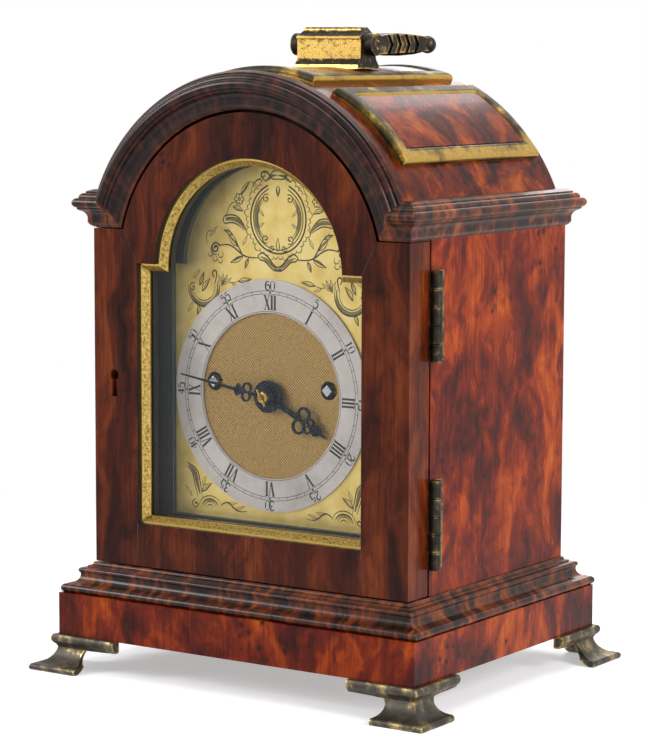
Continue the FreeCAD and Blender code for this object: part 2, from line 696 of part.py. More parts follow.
def facing_front(faces, y):
    """The outline of the flat face that lies at the given depth."""
    flat = [face for face in faces if abs(face.BoundBox.YMin - y) < 1e-6 and abs(face.BoundBox.YMax - y) < 1e-6]
    return flat[0].OuterWire


def build_rear_door():
    """Glazed rear door and its turn button."""
    frame = rear_outline(REAR_GAP, BACK_Y - WALL, BACK_Y)
    frame = frame.cut(rear_outline(REAR_RAIL, BACK_Y - WALL - 1, BACK_Y + 1))
    glass_low = BACK_Y - WALL + 2.0
    groove = rear_outline(REAR_RAIL - 3.0, glass_low, glass_low + GLASS_THICKNESS)
    SHAPES["rear_door_frame"] = frame.cut(groove)
    SHAPES["rear_door_glass"] = groove
    pivot_x = -REAR_OPENING_WIDTH / 2 - 6.0
    pivot_z = (REAR_OPENING_LOW + REAR_OPENING_HIGH) / 2
    screw = rod(1.4, (pivot_x, BACK_Y - 4.0, pivot_z), (pivot_x, BACK_Y + 3.2, pivot_z))
    head = rod(2.6, (pivot_x, BACK_Y + 2.5, pivot_z), (pivot_x, BACK_Y + 3.6, pivot_z))
    SHAPES["turn_button_screw"] = fuse(screw, head)
    hole = rod(1.4 + RUNNING_FIT, (pivot_x, BACK_Y, pivot_z), (pivot_x, BACK_Y + 5, pivot_z))
    bar = box(pivot_x - 3, pivot_x + 3, BACK_Y + 0.3, BACK_Y + 2.3, pivot_z - BUTTON_LENGTH / 2, pivot_z + BUTTON_LENGTH / 2)
    ends = [
        rod(3.0, (pivot_x, BACK_Y + 0.3, pivot_z + sign * BUTTON_LENGTH / 2), (pivot_x, BACK_Y + 2.3, pivot_z + sign * BUTTON_LENGTH / 2))
        for sign in (-1, 1)
    ]
    SHAPES["turn_button"] = fuse(bar, *ends).cut(hole)
    SHAPES["back_frame"] = SHAPES["back_frame"].cut(SHAPES["turn_button_screw"])


# ---- Roof panels and handle -------------------------------------------------------------------
def roof_sector(low, high, y_low, y_high, inner, outer):
    """Part of a tube round the roof's axis, between two angles above the horizontal."""
    start = polar(0, ARCH_Z, inner, low, y_low)
    face = Part.Face(
        Part.Wire(
            [
                Part.LineSegment(start, polar(0, ARCH_Z, outer, low, y_low)).toShape(),
                Part.LineSegment(polar(0, ARCH_Z, outer, low, y_low), polar(0, ARCH_Z, outer, low, y_high)).toShape(),
                Part.LineSegment(polar(0, ARCH_Z, outer, low, y_high), polar(0, ARCH_Z, inner, low, y_high)).toShape(),
                Part.LineSegment(polar(0, ARCH_Z, inner, low, y_high), start).toShape(),
            ]
        )
    )
    return face.revolve(V(0, 0, ARCH_Z), V(0, -1, 0), high - low)


def panel_frame(low, high):
    """A brass moulding round a roof panel, rounded in section, with mitred corners."""
    angle = math.degrees(PANEL_FRAME_WIDTH / ARCH_RADIUS)
    outer = roof_sector(low, high, PANEL_FRONT_Y, PANEL_BACK_Y, ARCH_RADIUS, ARCH_RADIUS + PANEL_FRAME_PROUD)
    inner = roof_sector(
        low + angle,
        high - angle,
        PANEL_FRONT_Y + PANEL_FRAME_WIDTH,
        PANEL_BACK_Y - PANEL_FRAME_WIDTH,
        ARCH_RADIUS - 1,
        ARCH_RADIUS + PANEL_FRAME_PROUD + 1,
    )
    frame = outer.cut(inner)
    top_edges = [edge for edge in frame.Edges if lies_at_radius(edge, ARCH_RADIUS + PANEL_FRAME_PROUD)]
    return frame.makeFillet(PANEL_FRAME_PROUD * 0.62, top_edges)


def lies_at_radius(edge, radius):
    """True for an edge whose ends and middle all lie on the given radius from the roof's axis."""
    first, last = edge.ParameterRange
    points = [edge.valueAt(first), edge.valueAt((first + last) / 2), edge.valueAt(last)]
    return all(abs(math.hypot(point.x, point.z - ARCH_Z) - radius) < 0.01 for point in points)


def build_roof_panels():
    """Three raised panels with brass frames: one on the crown and one on each haunch."""
    angle = math.degrees(PANEL_FRAME_WIDTH / ARCH_RADIUS)
    spans = (
        (SIDE_PANEL_LOW, SIDE_PANEL_HIGH),
        (90 - TOP_PANEL_HALF, 90 + TOP_PANEL_HALF),
        (180 - SIDE_PANEL_HIGH, 180 - SIDE_PANEL_LOW),
    )
    panels = []
    frames = []
    for low, high in spans:
        frames.append(panel_frame(low, high))
        panels.append(
            roof_sector(
                low + angle,
                high - angle,
                PANEL_FRONT_Y + PANEL_FRAME_WIDTH,
                PANEL_BACK_Y - PANEL_FRAME_WIDTH,
                ARCH_RADIUS,
                ARCH_RADIUS + PANEL_PROUD,
            )
        )
    SHAPES["roof_panels"] = Part.makeCompound(panels)
    SHAPES["roof_panel_frames"] = Part.makeCompound(frames)


def build_handle():
    """Brass pedestal on the crown, bail handle folded back, and its two pivot pins."""
    half = PEDESTAL_LENGTH / 2
    seat = ARCH_Z + ARCH_RADIUS + PANEL_PROUD
    top = seat + PEDESTAL_HEIGHT
    y_front = HANDLE_Y - PEDESTAL_DEPTH / 2

    def side(y, z):
        return V(-half, HANDLE_Y + y, z)

    deep = PEDESTAL_DEPTH / 2
    steps = (
        (-deep - 3.4, seat - 1.0),
        (-deep - 2.6, seat + 1.2),
        (-deep - 1.6, seat + 2.2, -deep, seat + 4.4),
        (-deep, top - 6.4),
        (-deep - 0.9, top - 6.0),
        (-deep - 0.9, top - 4.8),
        (-deep + 1.6, top - 3.6, -deep + 3.4, top - 0.9),
        (-deep + 4.0, top),
        (deep - 4.0, top),
        (deep - 3.4, top - 0.9),
        (deep - 1.6, top - 3.6, deep + 0.9, top - 4.8),
        (deep + 0.9, top - 6.0),
        (deep, top - 6.4),
        (deep, seat + 4.4),
        (deep + 1.6, seat + 2.2, deep + 2.6, seat + 1.2),
        (deep + 3.4, seat - 1.0),
    )
    wire = outline(steps[0], steps[1:], side)
    block = Part.Face(wire).extrude(V(PEDESTAL_LENGTH, 0, 0))
    slope = 3.0
    for sign in (-1, 1):

        def end(x, z, sign=sign):
            return V(sign * (half + x), y_front - 10, z)

        bevel = outline((0.01, top - 4.4), ((0.01, top + 1), (-slope - 1, top + 1), (-slope, top - 0.01)), end)
        block = block.cut(Part.Face(bevel).extrude(V(0, PEDESTAL_DEPTH + 20, 0)))
    seat_cut = roof_sector(90 - TOP_PANEL_HALF, 90 + TOP_PANEL_HALF, y_front - 20, y_front + 40, 10.0, ARCH_RADIUS + PANEL_PROUD)
    block = block.cut(seat_cut)
    arm_in = half + SIDE_CLEARANCE
    arm_out = arm_in + HANDLE_ARM_THICKNESS
    pins = []
    for sign in (-1, 1):
        start = (sign * (half - 6.0), HANDLE_Y, HANDLE_Z)
        pins.append(rod(PIVOT_RADIUS, start, (sign * (arm_out + 0.3), HANDLE_Y, HANDLE_Z)))
    SHAPES["handle_pedestal"] = Part.makeCompound([block.cut(pins)] + pins)
    SHAPES["handle"] = handle_bail(arm_in, arm_out)


def chevron_cuts(sign, arm_out):
    """Pointed grooves across the outer face of one arm."""
    x_low = min(sign * (arm_out - CHEVRON_DEPTH), sign * (arm_out + 1.0))
    high = HANDLE_RING_RADIUS

    def flat(y, z):
        return V(x_low, HANDLE_Y + y, HANDLE_Z + z)

    cuts = []
    for index in range(CHEVRONS):
        near = CHEVRON_START + index * CHEVRON_PITCH
        far = near + CHEVRON_WIDTH
        steps = ((near + CHEVRON_POINT, 0.0), (near, high), (far, high), (far + CHEVRON_POINT, 0.0), (far, -high))
        cuts.append(Part.Face(outline((near, -high), steps, flat)).extrude(V(CHEVRON_DEPTH + 1.0, 0, 0)))
    return cuts


def handle_bail(arm_in, arm_out):
    """Two tapered arms with rings, ball ends and a swelling grip between them."""
    grip_y = HANDLE_Y + HANDLE_REACH
    middle_x = (arm_in + arm_out) / 2
    parts = []
    for sign in (-1, 1):
        x_low = min(sign * arm_in, sign * arm_out)

        def flat(y, z, x_low=x_low):
            return V(x_low, HANDLE_Y + y, HANDLE_Z + z)

        ring = rod(HANDLE_RING_RADIUS, (sign * arm_in, HANDLE_Y, HANDLE_Z), (sign * arm_out, HANDLE_Y, HANDLE_Z))
        arm_wire = outline(
            (3.0, 4.6), ((HANDLE_REACH * 0.5, 5.6, HANDLE_REACH, 3.4), (HANDLE_REACH, -3.4), (3.0, -5.2)), flat
        )
        arm = Part.Face(arm_wire).extrude(V(HANDLE_ARM_THICKNESS, 0, 0))
        ball = Part.makeSphere(HANDLE_BALL_RADIUS, V(sign * middle_x, grip_y, HANDLE_Z))
        bore_in = (sign * (arm_in - 1), HANDLE_Y, HANDLE_Z)
        bore = rod(PIVOT_RADIUS + RUNNING_FIT, bore_in, (sign * (arm_out + 1), HANDLE_Y, HANDLE_Z))
        parts.append(fuse(ring, arm, ball).cut([bore] + chevron_cuts(sign, arm_out)))
    end_x = middle_x

    def length(x, radius):
        return V(x, grip_y + radius, HANDLE_Z)

    swell = (
        (-end_x, GRIP_END_RADIUS),
        (-end_x * 0.62, GRIP_RADIUS * 0.86),
        (-end_x * 0.22, GRIP_RADIUS),
        (end_x * 0.22, GRIP_RADIUS),
        (end_x * 0.62, GRIP_RADIUS * 0.86),
        (end_x, GRIP_END_RADIUS),
        (end_x, 0.0),
    )
    grip_wire = outline((-end_x, 0.0), swell, length)
    grip = Part.Face(grip_wire).revolve(V(0, grip_y, HANDLE_Z), V(1, 0, 0), 360)
    return fuse(grip, *parts)


# ---- Dial and hands ---------------------------------------------------------------------------
def hole_y(radius, x, z, y_low=-90.0, y_high=90.0):
    """A straight hole along the depth of the clock."""
    return rod(radius, (x, y_low, z), (x, y_high, z))


def square_y(side, x, z, y_low, y_high):
    """A winding square, set on its corner."""
    bar = box(x - side / 2, x + side / 2, y_low, y_high, z - side / 2, z + side / 2)
    bar.rotate(V(x, 0, z), V(0, 1, 0), 45)
    return bar


HOUR_PIPE = (2.6, 3.6)
CANNON_PIPE = (ARBOR_RADIUS + RUNNING_FIT, 2.4)
HOUR_HAND_Y = DIAL_FRONT_Y - RING_THICKNESS - HAND_CLEARANCE - HAND_THICKNESS
MINUTE_HAND_Y = HOUR_HAND_Y - HAND_CLEARANCE - HAND_THICKNESS


def build_dial():
    """Arched dial plate with its four feet, and the chapter ring."""
    plate = dial_board(0.0, DIAL_FRONT_Y, DIAL_BACK_Y)
    plate = plate.cut(hole_y(HOUR_PIPE[1] + 0.6, 0, DIAL_CENTRE_Z))
    for sign in (-1, 1):
        plate = plate.cut(hole_y(WINDING_HOLE_RADIUS, sign * WINDING_X, WINDING_Z))
    feet = []
    for x in (-54.0, 54.0):
        for z in (DIAL_BOTTOM_Z + 9.0, DOOR_SHOULDER_Z - 9.0):
            feet.append(rod(2.0, (x, DIAL_BACK_Y, z), (x, PLATE_FRONT_Y, z)))
    SHAPES["dial_plate"] = fuse(plate, *feet)
    front = DIAL_FRONT_Y - RING_THICKNESS
    ring = rod(RING_RADIUS, (0, front, DIAL_CENTRE_Z), (0, DIAL_FRONT_Y, DIAL_CENTRE_Z))
    ring = ring.cut(rod(RING_INNER_RADIUS, (0, front - 1, DIAL_CENTRE_Z), (0, DIAL_FRONT_Y + 1, DIAL_CENTRE_Z)))
    for sign in (-1, 1):
        ring = ring.cut(hole_y(WINDING_HOLE_RADIUS, sign * WINDING_X, WINDING_Z))
    SHAPES["chapter_ring"] = ring


def turned(shape, degrees):
    """A hand drawn upright, turned clockwise about the dial's centre as seen from the front."""
    copy = shape.copy()
    copy.rotate(V(0, 0, DIAL_CENTRE_Z), V(0, 1, 0), degrees)
    return copy


def flat_disc(radius, x, up, y):
    """A disc of a hand's thickness, at a height above the dial's centre."""
    return rod(radius, (x, y, DIAL_CENTRE_Z + up), (x, y + HAND_THICKNESS, DIAL_CENTRE_Z + up))


def flat_ring(radius, width, x, up, y):
    """A pierced loop in a hand."""
    return flat_disc(radius, x, up, y).cut(flat_disc(radius - width, x, up, y))


def blade(points, y):
    """A flat pointed part of a hand, drawn by its right edge and mirrored."""
    mirrored = [(-x, up) for x, up in reversed(points) if abs(x) > 1e-6]
    outline_points = tuple(points) + tuple(mirrored)
    wire = outline(outline_points[0], outline_points[1:], lambda x, up: V(x, y, DIAL_CENTRE_Z + up))
    return Part.Face(wire).extrude(V(0, HAND_THICKNESS, 0))


def build_hands():
    """Pierced hour hand, slender minute hand, the domed collet and the taper pin."""
    y = HOUR_HAND_Y
    length = HOUR_HAND_LENGTH
    boss = flat_disc(HAND_BOSS_RADIUS, 0, 0, y)
    stem = blade(((1.5, 7.0), (1.3, 21.0)), y)
    loops = [flat_ring(4.2, 1.4, sign * 3.6, 24.0, y) for sign in (-1, 1)]
    upper = [flat_ring(2.4, 1.0, sign * 2.2, 29.6, y) for sign in (-1, 1)]
    tip = blade(((1.2, 30.5), (3.0, 34.0), (2.4, 36.0), (0.9, 37.5), (0.0, length)), y)
    hour = fuse(boss, stem, *loops, *upper, tip)
    hour = hour.cut(hole_y(HOUR_PIPE[1], 0, DIAL_CENTRE_Z))
    SHAPES["hour_hand"] = turned(hour, HOUR_HAND_ANGLE)

    y = MINUTE_HAND_Y
    boss = flat_disc(HAND_BOSS_RADIUS * 0.62, 0, 0, y)
    stem = blade(((1.0, 4.0), (0.9, 10.0)), y)
    loops = [flat_ring(2.9, 1.0, sign * 2.3, 12.0, y) for sign in (-1, 1)]
    barbs = blade(((0.8, 13.5), (3.4, 18.0), (0.9, 20.0)), y)
    long_tip = blade(((0.9, 19.0), (0.3, MINUTE_HAND_LENGTH)), y)
    minute = fuse(boss, stem, *loops, barbs, long_tip)
    minute = minute.cut(hole_y(CANNON_PIPE[1], 0, DIAL_CENTRE_Z))
    SHAPES["minute_hand"] = turned(minute, MINUTE_HAND_ANGLE)

    dome = revolve(
        (ARBOR_RADIUS, -0.1), ((3.4, -0.1), (3.2, -2.0, ARBOR_RADIUS, -2.6)), (0, MINUTE_HAND_Y, DIAL_CENTRE_Z)
    )
    pin_y = MINUTE_HAND_Y - 3.3
    pin = rod(0.6, (-5.0, pin_y, DIAL_CENTRE_Z), (5.0, pin_y, DIAL_CENTRE_Z))
    pin = turned(pin, MINUTE_HAND_ANGLE - 40)
    SHAPES["hand_collet"] = Part.makeCompound([dome, pin])


# ---- Wheels -----------------------------------------------------------------------------------
def gear(centre, teeth, module, y_low, y_high, phase, bore, pointed=False, spokes=0, hub=0.0):
    """A spur wheel about the depth axis: tooth 0 points at the phase angle, and spokes leave open windows."""
    x, z = centre
    pitch_radius = teeth * module / 2
    tip = pitch_radius + 0.62 * module
    root = pitch_radius - 0.95 * module
    step = 360.0 / teeth
    base_half = 0.17 * step
    tip_half = 0.0 if pointed else 0.07 * step
    points = []
    for index in range(teeth):
        middle = phase + index * step
        points.append(polar(x, z, root, middle - base_half, y_low))
        if pointed:
            points.append(polar(x, z, tip, middle, y_low))
        else:
            points.append(polar(x, z, tip, middle - tip_half, y_low))
            points.append(polar(x, z, tip, middle + tip_half, y_low))
        points.append(polar(x, z, root, middle + base_half, y_low))
    wires = [Part.makePolygon(points + [points[0]])]
    if bore:
        wires.append(Part.Wire(Part.makeCircle(bore, V(x, y_low, z), V(0, 1, 0))))
    rim = root - 2.2
    for index in range(spokes):
        wires.append(window(x, z, hub, rim, 360.0 * index / spokes, 360.0 / spokes, y_low))
    face = Part.Face(wires, "Part::FaceMakerBullseye")
    return face.extrude(V(0, y_high - y_low, 0))


def window(x, z, hub, rim, start, span, y, spoke=2.2):
    """The open window between two spokes of a wheel."""
    low_hub = start + math.degrees(math.asin(spoke / 2 / hub))
    high_hub = start + span - math.degrees(math.asin(spoke / 2 / hub))
    low_rim = start + math.degrees(math.asin(spoke / 2 / rim))
    high_rim = start + span - math.degrees(math.asin(spoke / 2 / rim))
    middle = start + span / 2
    corners = [polar(x, z, rim, low_rim, y), polar(x, z, rim, high_rim, y), polar(x, z, hub, high_hub, y), polar(x, z, hub, low_hub, y)]
    edges = [
        Part.Arc(corners[0], polar(x, z, rim, middle, y), corners[1]).toShape(),
        Part.LineSegment(corners[1], corners[2]).toShape(),
        Part.Arc(corners[2], polar(x, z, hub, middle, y), corners[3]).toShape(),
        Part.LineSegment(corners[3], corners[0]).toShape(),
    ]
    return Part.Wire(edges)


def heading(start, end):
    """The angle of the line from one centre to another, 0 at +X and 90 up."""
    return math.degrees(math.atan2(end[1] - start[1], end[0] - start[0]))


def between(start, end):
    """The distance between two centres."""
    return math.hypot(end[0] - start[0], end[1] - start[1])


def facing_gap(start, end, teeth):
    """The phase that puts a gap of a wheel at `start` opposite its partner at `end`."""
    return heading(start, end) + 180.0 / teeth


CENTRE = (0.0, DIAL_CENTRE_Z)
GOING_FUSEE = (WINDING_X, WINDING_Z)
STRIKE_FUSEE = (-WINDING_X, WINDING_Z)
GREAT_MODULE = 2 * math.hypot(WINDING_X, WINDING_Z - DIAL_CENTRE_Z) / (GREAT_TEETH + PINION_LEAVES)
THIRD_DISTANCE = CENTRE_MODULE * (WHEEL_TEETH + PINION_LEAVES) / 2
ESCAPE_DISTANCE = THIRD_MODULE * (WHEEL_TEETH + PINION_LEAVES) / 2
THIRD = (THIRD_X, DIAL_CENTRE_Z + math.sqrt(THIRD_DISTANCE ** 2 - THIRD_X ** 2))
ESCAPE = (0.0, THIRD[1] + math.sqrt(ESCAPE_DISTANCE ** 2 - THIRD_X ** 2))
ANCHOR = (0.0, ESCAPE[1] + ANCHOR_LIFT)
PIN_ANGLE = 112.0
FLY_ANGLE = 35.0
PIN_DISTANCE = GREAT_MODULE * (GREAT_TEETH + PIN_PINION_LEAVES) / 2
PIN_WHEEL = (
    STRIKE_FUSEE[0] + PIN_DISTANCE * math.cos(math.radians(PIN_ANGLE)),
    STRIKE_FUSEE[1] + PIN_DISTANCE * math.sin(math.radians(PIN_ANGLE)),
)
FLY_DISTANCE = THIRD_MODULE * (PIN_WHEEL_TEETH + PINION_LEAVES) / 2
FLY = (PIN_WHEEL[0] + FLY_DISTANCE * math.cos(math.radians(FLY_ANGLE)), PIN_WHEEL[1] + FLY_DISTANCE * math.sin(math.radians(FLY_ANGLE)))
MINUTE_WHEEL = (0.0, DIAL_CENTRE_Z - MOTION_DISTANCE)
CENTRE_WHEEL_Y = PLATE_INNER_Y + 3.0
THIRD_WHEEL_Y = PLATE_INNER_Y + 11.0
PIN_WHEEL_Y = PLATE_INNER_Y + 7.0
ESCAPE_WHEEL_Y = BACK_PLATE_Y - 12.0
GOING_GREAT_Y = BACK_PLATE_Y - 7.0
STRIKE_GREAT_Y = BACK_PLATE_Y - 12.0
FUSEE_FRONT_Y = PLATE_INNER_Y + 20.0
CANNON_WHEEL_Y = PLATE_FRONT_Y - 3.0
HOUR_WHEEL_Y = PLATE_FRONT_Y - 6.2
PIVOT_GAP = 0.3


def arbor(centre, radius=ARBOR_RADIUS, y_low=None, y_high=None):
    """An arbor between the plates, with pivots that run in both."""
    x, z = centre
    low = PLATE_INNER_Y + PIVOT_GAP if y_low is None else y_low
    high = BACK_PLATE_Y - PIVOT_GAP if y_high is None else y_high
    body = rod(radius, (x, low, z), (x, high, z))
    pivot = rod(radius * 0.6, (x, PLATE_FRONT_Y + 0.4, z), (x, BACK_PLATE_Y + PLATE_THICKNESS - 0.4, z))
    return body.fuse(pivot)


def build_going_train():
    """Centre wheel, third wheel and escape wheel, each with its pinion and arbor."""
    great_gap = facing_gap(CENTRE, GOING_FUSEE, PINION_LEAVES)
    pinion = gear(CENTRE, PINION_LEAVES, GREAT_MODULE, GOING_GREAT_Y - 1, GOING_GREAT_Y + WHEEL_THICKNESS + 1, great_gap, 0)
    wheel = gear(
        CENTRE, WHEEL_TEETH, CENTRE_MODULE, CENTRE_WHEEL_Y, CENTRE_WHEEL_Y + WHEEL_THICKNESS, heading(CENTRE, THIRD), 0, True, 4, 4.0
    )
    staff = rod(ARBOR_RADIUS, (0, MINUTE_HAND_Y - 4.4, DIAL_CENTRE_Z), (0, BACK_PLATE_Y - PIVOT_GAP, DIAL_CENTRE_Z))
    tail = rod(ARBOR_RADIUS * 0.6, (0, BACK_PLATE_Y - 1, DIAL_CENTRE_Z), (0, BACK_PLATE_Y + PLATE_THICKNESS - 0.4, DIAL_CENTRE_Z))
    SHAPES["centre_wheel"] = fuse(staff, pinion, wheel, tail).cut(SHAPES["hand_collet"].Solids[1])

    gap = facing_gap(THIRD, CENTRE, PINION_LEAVES)
    pinion = gear(THIRD, PINION_LEAVES, CENTRE_MODULE, CENTRE_WHEEL_Y - 1, CENTRE_WHEEL_Y + WHEEL_THICKNESS + 1, gap, 0)
    wheel = gear(
        THIRD, WHEEL_TEETH, THIRD_MODULE, THIRD_WHEEL_Y, THIRD_WHEEL_Y + WHEEL_THICKNESS, heading(THIRD, ESCAPE), 0, True, 4, 3.6
    )
    SHAPES["third_wheel"] = fuse(arbor(THIRD, 0.9), pinion, wheel)

    gap = facing_gap(ESCAPE, THIRD, PINION_LEAVES)
    pinion = gear(ESCAPE, PINION_LEAVES, THIRD_MODULE, THIRD_WHEEL_Y - 1, THIRD_WHEEL_Y + WHEEL_THICKNESS + 1, gap, 0)
    SHAPES["escape_wheel"] = fuse(arbor(ESCAPE, 0.8), pinion, escape_disc())


def escape_disc():
    """Escape wheel with raked teeth and four spokes."""
    x, z = ESCAPE
    step = 360.0 / ESCAPE_TEETH
    points = []
    for index in range(ESCAPE_TEETH):
        angle = 90 + index * step
        points.append(polar(x, z, ESCAPE_RADIUS - 2.0, angle - 0.35 * step, ESCAPE_WHEEL_Y))
        points.append(polar(x, z, ESCAPE_RADIUS, angle, ESCAPE_WHEEL_Y))
        points.append(polar(x, z, ESCAPE_RADIUS - 2.0, angle + 0.1 * step, ESCAPE_WHEEL_Y))
    wires = [Part.makePolygon(points + [points[0]])]
    for index in range(4):
        wires.append(window(x, z, 3.2, ESCAPE_RADIUS - 3.6, 90 * index, 90, ESCAPE_WHEEL_Y, 1.6))
    return Part.Face(wires, "Part::FaceMakerBullseye").extrude(V(0, 1.2, 0))


def fusee(centre, great_y, pinion_centre, phase):
    """A grooved fusee with its great wheel, arbor and winding square."""
    x, z = centre
    wheel = gear(centre, GREAT_TEETH, GREAT_MODULE, great_y, great_y + WHEEL_THICKNESS, phase, 0, True)
    length = great_y - FUSEE_FRONT_Y
    pitch = length / FUSEE_GROOVES
    steps = []
    for index in range(FUSEE_GROOVES):
        share = index / (FUSEE_GROOVES - 1)
        radius = FUSEE_SMALL_RADIUS + (FUSEE_LARGE_RADIUS - FUSEE_SMALL_RADIUS) * share ** 0.8
        start = index * pitch
        steps.append((radius, start + 0.1 * pitch))
        steps.append((radius - GROOVE_DEPTH, start + 0.5 * pitch))
        steps.append((radius, start + 0.9 * pitch))
    steps.append((FUSEE_LARGE_RADIUS, length))
    steps.append((0.0, length))
    cone = revolve((0.0, 0.0), [(FUSEE_SMALL_RADIUS, 0.0)] + steps, (x, FUSEE_FRONT_Y, z))
    square_end = DIAL_FRONT_Y - 2.0
    shaft = rod(2.2, (x, DIAL_BACK_Y + 3.0, z), (x, BACK_PLATE_Y - PIVOT_GAP, z))
    rear = rod(1.4, (x, BACK_PLATE_Y - 1, z), (x, BACK_PLATE_Y + PLATE_THICKNESS - 0.4, z))
    square = square_y(WINDING_SQUARE * 0.7, x, z, square_end, DIAL_BACK_Y + 4.0)
    return fuse(shaft, rear, square, cone, wheel)


def build_power():
    """Fusees with great wheels, the spring barrels, and the gut lines between them."""
    SHAPES["going_fusee"] = fusee(GOING_FUSEE, GOING_GREAT_Y, CENTRE, heading(GOING_FUSEE, CENTRE))
    SHAPES["strike_fusee"] = fusee(STRIKE_FUSEE, STRIKE_GREAT_Y, PIN_WHEEL, heading(STRIKE_FUSEE, PIN_WHEEL))
    lines = []
    for sign, name, great_y in ((1, "going_barrel", GOING_GREAT_Y), (-1, "strike_barrel", STRIKE_GREAT_Y)):
        x = sign * BARREL_X
        low = FUSEE_FRONT_Y - 2.0
        high = great_y - 3.0
        steps = (
            (BARREL_RADIUS + 1.0, 0.0),
            (BARREL_RADIUS + 1.0, 1.4),
            (BARREL_RADIUS, 1.4),
            (BARREL_RADIUS, high - low - 1.4),
            (BARREL_RADIUS + 1.0, high - low - 1.4),
            (BARREL_RADIUS + 1.0, high - low),
            (2.4, high - low),
        )
        drum = revolve((2.4, 0.0), steps, (x, low, BARREL_Z))
        shaft = arbor((x, BARREL_Z), 2.4)
        SHAPES[name] = fuse(drum, shaft)
        line_y = great_y - 5.0 - GUT_RADIUS
        side = sign * 1.0
        barrel_x = x + side * (BARREL_RADIUS + GUT_RADIUS + 0.3)
        fusee_x = sign * (WINDING_X + FUSEE_LARGE_RADIUS + GUT_RADIUS + 0.3)
        lines.append(rod(GUT_RADIUS, (barrel_x, line_y, BARREL_Z), (fusee_x, line_y, WINDING_Z)))
    SHAPES["gut_lines"] = Part.makeCompound(lines)


def build_motion_work():
    """Cannon wheel, minute wheel with its pinion, and hour wheel with its pipe."""
    motion_module = 2 * MOTION_DISTANCE / (2 * CANNON_TEETH)
    hour_module = 2 * MOTION_DISTANCE / (WHEEL_TEETH + PINION_LEAVES)
    y = CANNON_WHEEL_Y
    cannon = gear(CENTRE, CANNON_TEETH, motion_module, y, y + WHEEL_THICKNESS, heading(CENTRE, MINUTE_WHEEL), CANNON_PIPE[0], True)
    pipe = rod(CANNON_PIPE[1], (0, MINUTE_HAND_Y, DIAL_CENTRE_Z), (0, y + WHEEL_THICKNESS, DIAL_CENTRE_Z))
    pipe = pipe.cut(hole_y(CANNON_PIPE[0], 0, DIAL_CENTRE_Z))
    SHAPES["cannon_wheel"] = fuse(cannon, pipe)

    x, z = MINUTE_WHEEL
    hour_y = HOUR_WHEEL_Y
    gap = facing_gap(MINUTE_WHEEL, CENTRE, CANNON_TEETH)
    wheel = gear(MINUTE_WHEEL, CANNON_TEETH, motion_module, y, y + WHEEL_THICKNESS, gap, 0, True)
    gap = facing_gap(MINUTE_WHEEL, CENTRE, PINION_LEAVES)
    pinion = gear(MINUTE_WHEEL, PINION_LEAVES, hour_module, hour_y - 0.4, y, gap, 0)
    staff = rod(MINUTE_ARBOR, (x, hour_y - 0.4, z), (x, PLATE_INNER_Y - 0.4, z))
    SHAPES["minute_wheel"] = fuse(wheel, pinion, staff)

    wheel = gear(
        CENTRE, WHEEL_TEETH, hour_module, hour_y, hour_y + WHEEL_THICKNESS, heading(CENTRE, MINUTE_WHEEL), HOUR_PIPE[0], True
    )
    pipe = rod(HOUR_PIPE[1], (0, HOUR_HAND_Y, DIAL_CENTRE_Z), (0, hour_y + WHEEL_THICKNESS, DIAL_CENTRE_Z))
    SHAPES["hour_wheel"] = fuse(wheel, pipe.cut(hole_y(HOUR_PIPE[0], 0, DIAL_CENTRE_Z)))


def build_pendulum():
    """Anchor, its arbor through the back plate, rod and bob."""
    x, z = ANCHOR
    y = ESCAPE_WHEEL_Y
    reach = ESCAPE_RADIUS + 0.6
    pallet = []
    for sign in (-1, 1):

        def flat(u, w, sign=sign):
            return V(x + sign * u, y, w)

        tip_angle = math.radians(52)
        tip = (reach * math.cos(tip_angle), ESCAPE[1] + reach * math.sin(tip_angle))
        wire = outline(
            (0.0, z + 2.2),
            ((tip[0] + 3.4, tip[1] + 3.6), (tip[0] + 1.8, tip[1] + 0.2), tip, (tip[0] + 0.6, tip[1] + 3.0), (0.0, z - 2.2)),
            flat,
        )
        pallet.append(Part.Face(wire).extrude(V(0, 1.2, 0)))
    bob_z = z - PENDULUM_LENGTH
    rod_y = BACK_PLATE_Y + PLATE_THICKNESS + 9.0
    staff = rod(1.1, (x, PLATE_INNER_Y + PIVOT_GAP, z), (x, rod_y + 3.0, z))
    front_pivot = rod(0.7, (x, PLATE_FRONT_Y + 0.4, z), (x, PLATE_INNER_Y + 1, z))
    stem = rod(1.0, (x, rod_y, z), (x, rod_y, bob_z))
    bob = revolve(
        (0.0, -3.4), ((BOB_RADIUS - 1.6, -1.4), (BOB_RADIUS, 0.0, BOB_RADIUS - 1.6, 1.4), (0.0, 3.4)), (x, rod_y, bob_z)
    )
    SHAPES["anchor"] = fuse(staff, front_pivot, *pallet)
    SHAPES["pendulum"] = fuse(stem, bob).cut(hole_y(1.1, x, z))


